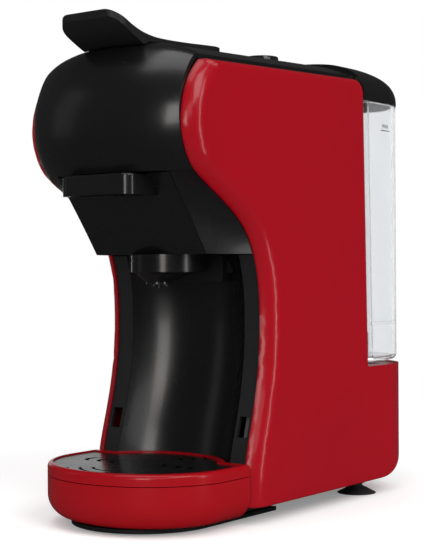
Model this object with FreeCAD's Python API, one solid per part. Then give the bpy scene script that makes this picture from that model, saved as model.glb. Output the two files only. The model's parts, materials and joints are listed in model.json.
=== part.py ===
"""Pod coffee machine, modelled as the separate pieces it comes apart into.

Millimetres, +Z up. X runs across the machine, -Y is the front with the drip
tray, +Y the rear with the water tank. The origin is the middle of the overall
box in X and Y, on the surface that the machine stands on.
"""
import FreeCAD
import Part
import math
import os

V = FreeCAD.Vector

# ---------------------------------------------------------------- driving sizes
depth = 252.0             # drip tray front to water tank rear
half_width = 60.0         # outer face of a side shell
seam_x = 52.0             # inner edge of a side shell, where the black middle starts
body_top = 250.0          # top edge of the side shells at the brow
top_rise = 5.0            # how much higher that edge is at the rear
body_bottom = 10.0        # lower edge of the side shells
wall = 2.5                # moulded wall
gap = 0.4                 # parting gap between separate covers
slide_gap = 0.5           # running gap round what slides out

crown = 13.0              # how far head and top bulge past the side shells
crown_lip = 3.0           # upright lip where the top cover meets a shell
brow_y = -93.0            # where the head cover meets the top cover
bulge_y = -108.0          # foremost point of the side shells
chin_z = 148.6            # flat underside of the head
waist_y = -38.8           # rearmost point of the side shells' front edge
foot_y = -55.0            # front edge of the side shells near the floor
shell_round = 10.5        # rounding down the front edge of each side shell
shell_foot_round = 18.0    # rounding under the shells' rear corner
shell_top_round = 4.0     # rounding along their top and rear edges
rear_round = 32.0         # upright rear corners
gland_z = 38.0            # mains inlet in the rear cover

door_half = 39.4          # half width of the capsule drawer's front
door_top = 191.4
tab_half = 24.8           # grip tab on the drawer front
tab_height = 11.5
tab_reach = 15.5          # how far it stands out of the drawer front's upper edge

cup_d = 44.0              # bore of the capsule basket
cup_depth = 30.0
basket_wall = 1.8
brew_y = -46.0            # axis of basket and piston
spout_y = -54.5           # axis of the spout's cup
spout_d = 42.0
spout_bottom = 138.8
outlet_y = -63.0          # where the coffee leaves the spout
outlet_bottom = 130.7

piston_d = 40.0
piston_travel = 13.5
lever_pin_d = 5.0
lever_pin_y = -24.0
lever_pin_z = 261.0
lever_rear_y = -21.0
crank_drop = 20.0         # crank pin below the lever's pivot
lever_half = 21.5
eye_in = 13.0             # inner faces of the lever's bearing eyes
lever_thick = 4.0
lever_rear_round = 18.0   # plan corners at the pivot end, clear of the top when raised
lever_tip_y = -122.7
lever_tip_z = 276.4

tray_half = 57.0
tray_nose = 50.0          # length of the tray's rounded front
tray_split = 27.5         # parting line between tub and rim
tray_top = 34.0
tray_bottom = 3.6
tray_wall = 2.5
grille_thick = 2.0
grille_ledge = 4.0        # width of the rim that carries the grille
bay_half = 41.0           # half width of the concave cup bay
bay_sag = 20.0            # how deep the bay wall is hollowed
slot_z = 47.0             # hooks for the raised tray position
slot_h = 11.4

tank_half = 58.5
tank_front = 70.0         # front wall at the top
tank_lean = 4.0           # further back than that at the bottom
tank_bottom = 82.0
tank_top = 242.4
tank_wall = 2.5
lid_front = 64.0
valve_x = 40.0            # tank outlet, near the tank's front corner
valve_y = 84.8
valve_d = 10.0
deck_thick = 2.5

button_d = 18.0
button_x = 13.0
button_y = 20.0
button_proud = 1.8

pump_d = 34.0
pump_len = 62.0
heater_d = 58.0
heater_h = 46.0

rear_y = depth / 2
front_y = -depth / 2


# ------------------------------------------------------------------ small tools
def box(x0, x1, y0, y1, z0, z1):
    """A block between two corners."""
    return Part.makeBox(x1 - x0, y1 - y0, z1 - z0, V(x0, y0, z0))


def rod(radius, start, direction, length):
    """A cylinder from a start point along a direction."""
    return Part.makeCylinder(radius, length, V(*start), V(*direction))


def tube(outer, inner, start, direction, length):
    """A round sleeve."""
    return rod(outer, start, direction, length).cut(rod(inner, start, direction, length))


def polygon(points):
    """A closed face through points."""
    return Part.Face(Part.makePolygon([V(*p) for p in points] + [V(*points[0])]))


def prism_yz(points, x0, x1):
    """A side outline, given as (y, z), extruded across X."""
    return polygon([(x0, y, z) for y, z in points]).extrude(V(x1 - x0, 0, 0))


def prism_xy(points, z0, z1):
    """A plan outline, given as (x, y), extruded upwards."""
    return polygon([(x, y, z0) for x, y in points]).extrude(V(0, 0, z1 - z0))


def spline(points):
    """A smooth edge through points."""
    curve = Part.BSplineCurve()
    curve.interpolate([V(*p) for p in points])
    return curve.toShape()


def mirror_x(shape):
    """The same piece on the other side of the machine."""
    return shape.mirror(V(0, 0, 0), V(1, 0, 0))


def fuse(shapes):
    """One solid from touching or overlapping shapes."""
    whole = shapes[0].fuse(shapes[1:]) if len(shapes) > 1 else shapes[0]
    return whole.removeSplitter()


def edges_where(shape, test):
    """The edges whose sample points all pass a test."""
    found = []
    for edge in shape.Edges:
        first, last = edge.ParameterRange
        samples = [edge.valueAt(first + (last - first) * step / 4) for step in range(5)]
        if all(test(p) for p in samples):
            found.append(edge)
    return found


# --------------------------------------------------------------- shared outlines
def seam_profile():
    """Front edge of the side shells as (y, z), from the brow to the floor."""
    return [
        (brow_y - 0.3, body_top), (bulge_y + 6.2, body_top - 9.9),
        (bulge_y + 1.0, body_top - 22.8), (bulge_y, body_top - 36.0),
        (bulge_y + 3.2, body_top - 47.3), (bulge_y + 8.1, body_top - 55.2),
        (bulge_y + 18.3, body_top - 63.0), (waist_y - 24.6, chin_z + 22.4),
        (waist_y - 14.6, chin_z + 13.9), (waist_y - 6.2, chin_z + 0.9),
        (waist_y - 0.7, chin_z - 21.3), (waist_y, chin_z - 39.0),
        (waist_y - 2.1, chin_z - 65.4), (foot_y + 8.1, body_bottom + 47.1),
        (foot_y + 3.2, body_bottom + 30.1), (foot_y + 0.3, body_bottom + 14.0),
        (foot_y, body_bottom),
    ]


SEAM = spline([(0, y, z) for y, z in seam_profile()])


def seam_y(z):
    """The shells' front edge at a height below the bulge's centre."""
    line = Part.Line(V(0, 0, z), V(0, 1, z)).toShape(-400, 400)
    hits = [p for p in line.distToShape(SEAM)[1]]
    return hits[0][1].y


def crown_at(x, height=crown, reach=seam_x):
    """Height of the crowned section at x, nought at the seam."""
    full = reach * 1.145
    edge = math.sqrt(1 - (reach / full) ** 2)
    return height * (math.sqrt(1 - (x / full) ** 2) - edge) / (1 - edge)



# -------------------------------------------------------------------- the cases
shell_rear_top = tank_front - 6.5
shell_rear_low = tank_front + tank_lean - 6.2
notch_z = tank_bottom - 2.0
seam_in = seam_x - gap          # half width of everything between the shells
rail_set = 1.5                  # rails lie this far behind the shells' edge


def drawn_in(points, inset):
    """The corners of a closed counterclockwise outline, moved inwards."""
    moved = []
    for before, here, after in zip(points[-1:] + points[:-1], points, points[1:] + points[:1]):
        normals = []
        for (y0, z0), (y1, z1) in ((before, here), (here, after)):
            length = math.hypot(y1 - y0, z1 - z0)
            normals.append(((z0 - z1) / length, (y1 - y0) / length))
        (ay, az), (by, bz) = normals
        scale = inset / (1 + ay * by + az * bz)
        moved.append((here[0] + (ay + by) * scale, here[1] + (az + bz) * scale))
    return moved


def shell_outline(x, inset=0.0):
    """Side outline of a shell as a face at x, drawn in by an inset."""
    profile = seam_profile()
    corners = [(rear_y, body_bottom), (rear_y, notch_z), (shell_rear_low, notch_z),
               (shell_rear_top, body_top + top_rise)]
    points = [V(x, y, z) for y, z in drawn_in(profile + corners, inset)]
    last = len(profile) - 1
    straight = points[last:] + points[:1]
    curve = Part.BSplineCurve()
    curve.interpolate(points[:last + 1])
    edges = [curve.toShape()] + [Part.makeLine(a, b) for a, b in zip(straight, straight[1:])]
    return Part.Face(Part.Wire(Part.__sortEdges__(edges)))


def shell_block(x_in, x_out, inset):
    """The rounded block that a side shell is cut from, or its hollow."""
    def along_x(y, z):
        return lambda p: abs(p.y - y) < 0.1 and abs(p.z - z) < 0.1

    block = shell_outline(x_in, inset).extrude(V(x_out - x_in, 0, 0))
    rear = rear_y - inset
    low = body_bottom + inset
    for test, radius in (
        (lambda p: p.y > shell_rear_top - 6 and p.z > body_top and p.y < shell_rear_low, 9.0),
        (along_x(rear, low), shell_foot_round - inset),
    ):
        rounds = [e for e in edges_where(block, test) if abs(e.Length - (x_out - x_in)) < 0.01]
        block = block.makeFillet(radius, rounds)
    front = edges_where(block, lambda p: abs(p.x - x_out) < 0.01 and p.y < waist_y + 8)
    block = block.makeFillet(shell_round - inset, front)
    plan = Part.Face(rounded_plan(0.0, x_out, -depth, rear, rear_round - inset))
    block = block.common(plan.extrude(V(0, 0, 2 * body_top)))
    return block.common(corner_prism(x_out, rear, rear_round - inset, low, shell_foot_round - inset))


def corner_prism(side, rear, corner, low, radius):
    """Everything inside a rounding that runs under the rear corner, across its diagonal."""
    reach = (side + rear - 2 * corner) * math.sqrt(0.5) + corner
    bend = radius * (1 - math.sqrt(0.5))
    section = [V(-depth, 0, low), V(reach - radius, 0, low), V(reach - bend, 0, low + bend),
               V(reach, 0, low + radius), V(reach, 0, 2 * body_top), V(-depth, 0, 2 * body_top)]
    edges = [Part.makeLine(section[0], section[1]), Part.Arc(*section[1:4]).toShape(),
             Part.makeLine(section[3], section[4]), Part.makeLine(section[4], section[5]),
             Part.makeLine(section[5], section[0])]
    prism = Part.Face(Part.Wire(edges)).extrude(V(0, 2 * depth, 0))
    prism.translate(V(0, -depth, 0))
    prism.rotate(V(0, 0, 0), V(0, 0, 1), 45)
    return prism


def shell_side_block(x0, x1, inset):
    """The side outline across X with its rear lower corner rounded."""
    block = shell_outline(x0, inset).extrude(V(x1 - x0, 0, 0))
    rear, low = rear_y - inset, body_bottom + inset
    corner = edges_where(block, lambda p: abs(p.y - rear) < 0.1 and abs(p.z - low) < 0.1)
    return block.makeFillet(shell_foot_round - inset, corner)


def side_shell():
    """Right-hand shell: a deep pan that wraps the machine's rear corner."""
    rear_inner = half_width - rear_round + 2
    x_start = rear_inner - 10
    shell = shell_block(x_start, half_width, 0.0)
    top = edges_where(
        shell, lambda p: abs(p.x - half_width) < 0.01 and p.z > body_top - 0.1 and p.y < shell_rear_top - 8
    )
    shell = shell.makeFillet(shell_top_round, top)
    shell = shell.cut(shell_block(x_start - 1, half_width - wall, wall))
    shell = shell.cut(box(0, seam_x, -depth, rear_y - rear_round, 0, 2 * body_top))
    return shell.cut(box(0, rear_inner, -depth, depth, 0, 2 * body_top))


def top_line(y):
    """Height of the shells' top edge at y."""
    return body_top + top_rise * (y - brow_y) / (shell_rear_top - brow_y)


def sheet_section(point, direction, lip, outer, inner):
    """One closed strip across X whose middle bulges along a direction."""
    def place(x, height):
        return V(x, point[0] + direction[0] * height, point[1] + direction[1] * height)

    count = 8
    xs = [seam_in * (2 * i / count - 1) for i in range(count + 1)]
    rise = [lip + crown_at(x, crown - lip, seam_in) for x in xs]
    over = Part.BSplineCurve()
    over.interpolate([place(x, h + outer) for x, h in zip(xs, rise)])
    under = Part.BSplineCurve()
    under.interpolate([place(x, h + inner) for x, h in zip(xs, rise)])
    left = Part.makeLine(place(xs[0], rise[0] + inner), place(xs[0], rise[0] + outer))
    right = Part.makeLine(place(xs[-1], rise[-1] + outer), place(xs[-1], rise[-1] + inner))
    return Part.Wire([over.toShape(), right, under.toShape(), left])


def top_sheet(outer=0.0, inner=-wall):
    """The straight crowned skin over the top, brow to tank lid."""
    stations = [(shell_rear_top - gap, 1.0), (brow_y - 0.3, 0.0)]
    wires = [sheet_section((y, body_top + top_rise * share), (0.0, 1.0), crown_lip, outer, inner)
             for y, share in stations]
    return Part.makeLoft(wires, True, True)


def head_sheet(outer=0.0, inner=-wall):
    """The bulging skin that rolls from the brow down the front of the head."""
    hub = (brow_y + 38.0, body_top - 45.0)
    stations = []
    for back in (44.0, 30.0, 16.0):
        y = brow_y + back
        stations.append(((y, top_line(y)), (-0.35 * (1 - back / 44.0), 1.0), crown_lip))
    profile = seam_profile()[:8]
    for index, (y, z) in enumerate(profile):
        dy, dz = y - hub[0], z - hub[1]
        size = math.hypot(dy, dz)
        lip = crown_lip * max(0.0, 1 - index / 3)
        stations.append(((y, z), (dy / size, dz / size), lip))
    wires = [sheet_section(p, d, lip, outer, inner) for p, d, lip in stations]
    return Part.makeLoft(wires, True, False)


def door_face_y(z):
    """How far forward the drawer front's face lies at a height."""
    top_y, mid_y, low_y = DOOR_Y
    share = (door_top - z) / (door_top - chin_z)
    bow = mid_y - (top_y + low_y) / 2
    return top_y + (low_y - top_y) * share + 4 * bow * share * (1 - share)


DOOR_Y = (brow_y - 9.3, brow_y + 7.3, waist_y - 31.6)


def shifted_profile(x, shift, low, high):
    """The shells' front edge moved back by a shift, between two heights."""
    whole = spline([(x, y + shift, z) for y, z in seam_profile()])
    keep = box(x - 1, x + 1, -depth, depth, low, high)
    return whole.common(keep).Edges[0]


def profile_band(x0, x1, near, far, low, high):
    """A wall that follows the shells' front edge between two setbacks."""
    front = shifted_profile(x0, near, low, high)
    back = shifted_profile(x0, far, low, high)
    front_ends = sorted((v.Point for v in front.Vertexes), key=lambda p: p.z)
    back_ends = sorted((v.Point for v in back.Vertexes), key=lambda p: p.z)
    rims = [Part.makeLine(a, b) for a, b in zip(front_ends, back_ends)]
    wire = Part.Wire(Part.__sortEdges__([front, rims[1], back, rims[0]]))
    return Part.Face(wire).extrude(V(x1 - x0, 0, 0))


def head_cheek():
    """Side of the head below the dome, from the drawer front to the shell."""
    wires = []
    count = 5
    top = door_top + gap
    for index in range(count):
        z = chin_z + (top - chin_z) * index / (count - 1)
        inner_y = door_face_y(min(z, door_top))
        outer_y = seam_y(z)
        corners = [
            V(door_half + gap, inner_y, z), V(seam_in, outer_y, z),
            V(seam_in, outer_y + 2 * wall, z), V(door_half + gap, inner_y + 2 * wall, z),
        ]
        wires.append(Part.makePolygon(corners + corners[:1]))
    return Part.makeLoft(wires, True, False)


def head_cover():
    """Front of the head: the dome, its cheeks and the flat ledges under them."""
    top = door_top + gap
    dome = head_sheet().common(box(-seam_x, seam_x, -depth, brow_y - gap / 2, top, 2 * body_top))
    cheek = head_cheek()
    reach = bay_wall_y(chin_z) - gap
    ledge = box(door_half + gap, seam_in, door_face_y(chin_z), reach, chin_z, chin_z + wall)
    wedge = prism_xy(
        [(door_half + gap, door_face_y(chin_z)), (seam_in, seam_y(chin_z)),
         (seam_in, reach), (door_half + gap, reach)], chin_z, chin_z + wall)
    side = fuse([cheek, ledge.common(wedge)])
    cover = fuse([dome, side, mirror_x(side)])
    return cover.cut(lever_slot())


def lever_slot():
    """Opening through the top that the lever's arms pass."""
    half = lever_half - 5.0
    sweep = math.hypot(lever_rear_y - lever_pin_y, lever_flat_z() - lever_pin_z)
    rear = lever_pin_y + sweep + slide_gap
    return box(-half, half, lever_tip_y + 30.0, rear, body_top - 5, 2 * body_top)


def lever_flat_z():
    """Top of the lever's flat rear part, just proud of the crown."""
    return top_line(lever_rear_y) + crown + 1.5


def button_places():
    """Centres of the two buttons."""
    return [(-button_x, button_y), (button_x, button_y)]


def top_cover():
    """Crowned lid over the whole top, between the shells."""
    cover = top_sheet().common(box(-seam_x, seam_x, brow_y + gap / 2, depth, body_top - 4, 2 * body_top))
    for x, y in button_places():
        cover = cover.cut(rod(button_d / 2 + 0.3, (x, y, body_top - 10), (0, 0, 1), 40))
    return cover.cut(lever_slot())


def bay_wall_y(z):
    """Front of the rails, from which the bay is hollowed back."""
    return seam_y(z) + rail_set


def bay_section(z, shift, half):
    """A concave line across the bay at one height."""
    sag = bay_sag * (half / bay_half) ** 2
    y = bay_wall_y(z) + shift
    return Part.Arc(V(-half, y, z), V(0, y + sag, z), V(half, y, z)).toShape()


def bay_wall():
    """Hollowed back of the cup bay."""
    wires = []
    stations = 6
    low = body_bottom + gap
    for index in range(stations):
        z = low + (chin_z - gap - low) * index / (stations - 1)
        half = bay_half - gap
        front, back = bay_section(z, 0.0, half), bay_section(z, 1.6 * wall, half)
        sides = [
            Part.makeLine(V(s * half, bay_wall_y(z), z), V(s * half, bay_wall_y(z) + 1.6 * wall, z))
            for s in (-1, 1)
        ]
        wires.append(Part.Wire(Part.__sortEdges__([front, sides[1], back, sides[0]])))
    return Part.makeLoft(wires, True, False)


def tray_rail():
    """Right-hand rail beside the bay, with the hook slot for the raised tray."""
    rail = profile_band(bay_half, seam_in, rail_set, rail_set + wall, body_bottom + gap, chin_z - gap)
    middle = (bay_half + seam_in) / 2
    slot = box(middle - 3.5, middle + 3.5, -depth, 0, slot_z, slot_z + slot_h)
    return rail.cut(slot)


# ------------------------------------------------------------------- base, rear
def tray_plan(inset, z0, z1):
    """Plan of the tray's front part as a prism: an elliptic nose and short sides."""
    nose_centre = front_y + tray_nose
    tips = [V(0, front_y + inset, z0), V(tray_half - inset, nose_centre, z0)]
    if tray_half > tray_nose:
        tips.reverse()
    ellipse = Part.Ellipse(*tips, V(0, nose_centre, z0))
    disc = Part.Face(Part.Wire([ellipse.toShape()])).extrude(V(0, 0, z1 - z0))
    rear = foot_y - slide_gap - inset
    nose = disc.common(box(-depth, depth, -depth, nose_centre, z0, z1))
    sides = box(-tray_half + inset, tray_half - inset, nose_centre, rear, z0, z1)
    half = bay_half - slide_gap - 0.5 - inset
    radius = (half ** 2 + bay_sag ** 2) / (2 * bay_sag)
    apex = foot_y + rail_set + bay_sag - 1.5 - inset
    lens = rod(radius, (0, apex - radius, z0), (0, 0, 1), z1 - z0)
    tail = lens.common(box(-half, half, nose_centre, rear_y, z0, z1))
    return fuse([nose, sides, tail])


def base_plate():
    """Chassis floor between the shells, with the plinth that carries the tray."""
    behind_tray = foot_y + rail_set + bay_sag + 1.0
    rear = rear_y - 22.0
    low = body_bottom - wall
    floor = box(-seam_in, seam_in, behind_tray, rear_y - rear_round - 1, low, body_bottom)
    strips = [box(x, x + seam_in - bay_half - gap, foot_y + 4, behind_tray, low, body_bottom)
              for x in (-seam_in, bay_half + gap)]
    half = half_width - rear_round + 1
    tail = box(-half, half, rear_y - rear_round - 1, rear, low, body_bottom)
    plinth_half = tray_half - 15.5
    nose = front_y + 9.5
    plinth = box(-plinth_half, plinth_half, nose + plinth_half, -8.0, 1.0, tray_bottom - gap)
    plinth = plinth.fuse(rod(plinth_half, (0, nose + plinth_half, 1.0), (0, 0, 1), tray_bottom - gap - 1.0))
    riser = box(-plinth_half + 7, plinth_half - 7, -20.0, -8.0, 1.0, body_bottom)
    return fuse([floor, tail, plinth, riser] + strips)


def front_pads():
    """Two rubber pads under the plinth's nose and two under its rear."""
    pads = [rod(8.0, (s * 24.0, y, 0), (0, 0, 1), 1.0) for s in (-1, 1) for y in (front_y + 40, -18.0)]
    return Part.makeCompound(pads)


def suction_feet():
    """Two rubber suction cups under the rear."""
    feet = []
    for side in (-1, 1):
        centre = (side * 44.0, 77.0)
        cup = Part.makeCone(12.0, 6.0, 4.0, V(*centre, 0)).cut(Part.makeCone(10.0, 4.0, 3.0, V(*centre, 0)))
        stem = rod(4.0, (*centre, 4.0), (0, 0, 1), body_bottom - wall - 4.0)
        feet.append(fuse([cup, stem]))
    return Part.makeCompound(feet)


def rear_wall():
    """Wall between the body and the water tank, leaning like the tank."""
    top_z = body_top + top_rise - wall - gap
    top_y, low_y = shell_rear_top - 4.0, shell_rear_low - 2.0
    panel = prism_yz([(top_y, top_z - 6), (top_y + wall, top_z - 6),
                      (low_y + wall, notch_z), (low_y, notch_z)],
                     -seam_in, seam_in)
    return panel


def tank_deck():
    """Shelf that the tank stands on, with the hole for its socket."""
    front = shell_rear_low - 2.0
    middle = rear_y - rear_round - gap
    half_rear = half_width - rear_round + 2 - gap
    deck = fuse([
        box(-seam_in, seam_in, front, middle, notch_z - deck_thick, notch_z - gap),
        box(-half_rear, half_rear, middle, rear_y - wall - gap, notch_z - deck_thick, notch_z - gap),
    ])
    return deck.cut(rod(valve_d / 2 + 3.2, (valve_x, valve_y, 0), (0, 0, 1), 2 * notch_z))


def rear_cover():
    """Lower rear panel between the shells, with vents and the cable inlet."""
    half = half_width - rear_round + 2 - gap
    outer, inner = [shell_side_block(-half, half, inset) for inset in (0.0, wall)]
    room = box(-half, half, rear_y - 22.0 + gap, rear_y + 1, 0, notch_z - deck_thick - gap)
    panel = outer.cut(inner).common(room)
    for index in range(6):
        z = 48.0 + 4.5 * index
        panel = panel.cut(box(-16, 16, rear_y - 2 * wall, rear_y + 1, z, z + 2.0))
    return panel.cut(rod(5.0, (0, rear_y - 2 * wall, gland_z), (0, 1, 0), 20))


def cable_gland():
    """Grommet in the mains inlet."""
    y = rear_y - 2 * wall - 2
    body = tube(4.9, 3.2, (0, y, gland_z), (0, 1, 0), rear_y - y)
    return body.fuse(tube(7.0, 3.2, (0, y, gland_z), (0, 1, 0), 2.0 + wall - gap)).removeSplitter()


# ------------------------------------------------------------------- drip tray
def tray_tub():
    """Red tub of the drip tray, rounded under its nose."""
    tub = tray_plan(0.0, tray_bottom, tray_split - gap / 2)
    bottom = edges_where(tub, lambda p: abs(p.z - tray_bottom) < 0.01 and p.y < foot_y - slide_gap - 0.2)
    tub = tub.makeFillet(13.0, [e for e in bottom if e.Length > 20])
    hollow = tray_plan(tray_wall, tray_bottom + tray_wall, tray_split + 1)
    low = edges_where(hollow, lambda p: abs(p.z - tray_bottom - tray_wall) < 0.01 and p.y < foot_y - 4)
    hollow = hollow.makeFillet(10.5, [e for e in low if e.Length > 20])
    return tub.cut(hollow)


def tray_rim():
    """Red rim that drops on the tub and carries the grille."""
    rim = tray_plan(0.0, tray_split + gap / 2, tray_top)
    top = edges_where(rim, lambda p: abs(p.z - tray_top) < 0.01 and p.y < foot_y - slide_gap - 0.2)
    rim = rim.makeFillet(2.5, [e for e in top if e.Length > 20])
    rim = rim.cut(tray_plan(grille_ledge + 1.5, tray_split - 1, tray_top + 1))
    return rim.cut(tray_plan(grille_ledge - 1.0, tray_top - grille_thick - 0.8, tray_top + 1))


def crescent(x, y, radius, width, angle):
    """A moon-shaped slot in the grille."""
    low, high = tray_top - 2 * grille_thick - 2, tray_top + 2
    disc = rod(radius, (x, y, low), (0, 0, 1), high - low)
    shift = V(math.cos(angle), math.sin(angle), 0) * width
    bite = rod(radius, (x + shift.x, y + shift.y, low), (0, 0, 1), high - low)
    return disc.cut(bite)


def drip_grille():
    """Lift-out grille with crescent slots in the middle and long arcs round them."""
    top = tray_top - 0.8
    plate = tray_plan(grille_ledge - 1.0 + 0.3, top - grille_thick, top)
    low, high = top - 3 * grille_thick, top + 2
    centre_y = front_y + 44.0
    cuts = []
    for step in range(3):
        for side in (-1, 1):
            reach = 13.0 + 9.0 * step
            cuts.append(crescent(side * reach, centre_y, 6.5, 3.2, 0.0 if side < 0 else math.pi))
    for radius in (14.0, 21.0, 28.0):
        ring = tube(radius + 0.9, radius - 0.9, (0, centre_y + 16, low), (0, 0, 1), high - low)
        window = box(-radius * 0.8, radius * 0.8, centre_y + 16 + radius * 0.45, rear_y, low, high)
        cuts.append(ring.common(window))
        cuts.append(
            tube(radius + 0.9, radius - 0.9, (0, centre_y - 16, low), (0, 0, 1), high - low)
            .common(box(-radius * 0.8, radius * 0.8, -depth, centre_y - 16 - radius * 0.45, low, high)))
    for cut in cuts:
        plate = plate.cut(cut)
    return plate


# ------------------------------------------------------------------ water tank
def rounded_plan(z, half, front, rear, corner):
    """Plan outline with rounded rear corners, straight at the front."""
    points = [
        V(-half, front, z), V(-half, rear - corner, z), V(-half + corner, rear, z),
        V(half - corner, rear, z), V(half, rear - corner, z), V(half, front, z),
    ]
    diagonal = corner * (1 - math.sqrt(0.5))
    left = Part.Arc(points[1], V(-half + diagonal, rear - diagonal, z), points[2]).toShape()
    right = Part.Arc(points[3], V(half - diagonal, rear - diagonal, z), points[4]).toShape()
    return Part.Wire([
        Part.makeLine(points[0], points[1]), left, Part.makeLine(points[2], points[3]), right,
        Part.makeLine(points[4], points[5]), Part.makeLine(points[5], points[0]),
    ])


def tank_block(inset, top, low=None):
    """Tank outline as a solid, drawn in by an inset on every side."""
    low = tank_bottom + inset if low is None else low
    wires = []
    for z in (low, top):
        lean = tank_lean * (tank_top - z) / (tank_top - tank_bottom)
        wires.append(rounded_plan(z, tank_half - inset, tank_front + lean + inset, rear_y - inset,
                                  rear_round - inset))
    block = Part.makeLoft(wires, True, True)
    bottom = edges_where(block, lambda p: abs(p.z - tank_bottom - inset) < 0.01)
    return block.makeFillet(4.0 - inset, bottom) if bottom else block


def water_tank():
    """Clear tank, open at the top, with its outlet sleeve in the floor."""
    tank = tank_block(0.0, tank_top).cut(tank_block(tank_wall, tank_top + 1))
    ledge_z = tank_bottom + 23.0
    ledge = tank_block(tank_wall - 0.1, ledge_z + 1.5, ledge_z)
    ledge = ledge.cut(tank_block(tank_wall + 1.3, ledge_z + 2, ledge_z - 1))
    tank = fuse([tank, ledge])
    return tank.cut(rod(valve_d / 2, (valve_x, valve_y, 0), (0, 0, 1), tank_bottom + 2 * tank_wall))


def lid_block(inset):
    """Domed tank lid as a solid, drawn in by an inset."""
    dome = ((0.0, 0.0), (7.0, 0.5), (13.0, 3.2), (18.0, 8.5), (22.0, 17.0), (24.5, 29.0), (25.6, 42.0))
    wires = []
    for rise, draw in dome:
        z = tank_top + gap + rise - (inset if rise else 1.0 if inset else 0.0)
        half = tank_half + 0.5 - inset - draw
        rear = rear_y - inset - draw * 0.95
        corner = min(rear_round - inset, half - 1.5, rear - lid_front - 1.5)
        wires.append(rounded_plan(z, half, lid_front, rear, corner))
    return Part.makeLoft(wires, True, False)


def tank_lid():
    """Domed black lid that closes the tank and carries on the top's line."""
    lid = lid_block(0.0)
    hollow = lid_block(wall).common(box(-depth, depth, lid_front + wall, depth, 0, 2 * body_top))
    return lid.cut(hollow)


def tank_valve_body():
    """Cage round the outlet valve, standing on the tank floor."""
    z0 = tank_bottom + tank_wall
    body = tube(valve_d / 2 + 2.5, valve_d / 2 + 0.4, (valve_x, valve_y, z0), (0, 0, 1), 15.0)
    for angle in (0, 90):
        window = box(-12, 12, -2.5, 2.5, z0 + 3, z0 + 10)
        window.rotate(V(0, 0, 0), V(0, 0, 1), angle)
        window.translate(V(valve_x, valve_y, 0))
        body = body.cut(window)
    cap = tube(valve_d / 2 + 1.0, 2.2, (valve_x, valve_y, z0 + 13.0), (0, 0, 1), 2.0)
    return fuse([body, cap])


def valve_plunger():
    """Spring-loaded plug of the tank outlet."""
    z0 = tank_bottom - 0.5
    plug = rod(valve_d / 2 - 0.4, (valve_x, valve_y, z0), (0, 0, 1), 4.5)
    stem = rod(1.9, (valve_x, valve_y, z0 + 4.5), (0, 0, 1), 14.5)
    return fuse([plug, stem])


def valve_spring():
    """Return spring on the plunger's stem, as its outer sleeve."""
    z0 = tank_bottom + 4.2
    return tube(3.6, 2.3, (valve_x, valve_y, z0), (0, 0, 1), tank_bottom + tank_wall + 12.8 - z0)


def tank_socket():
    """Fixed inlet that the tank's outlet stands in."""
    top = notch_z - gap
    body = tube(valve_d / 2 + 3.0, 3.0, (valve_x, valve_y, notch_z - 12.0), (0, 0, 1), top - notch_z + 12.0)
    under_deck = (valve_x, valve_y, notch_z - deck_thick - 2.5)
    flange = tube(valve_d / 2 + 3.8, valve_d / 2 + 2.9, under_deck, (0, 0, 1), 2.3)
    return fuse([body, flange])


def socket_seal():
    """Rubber ring on top of the inlet, under the tank's floor."""
    top = notch_z - gap
    return tube(valve_d / 2 + 2.0, valve_d / 2 - 1.0, (valve_x, valve_y, top), (0, 0, 1), 1.8)


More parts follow.
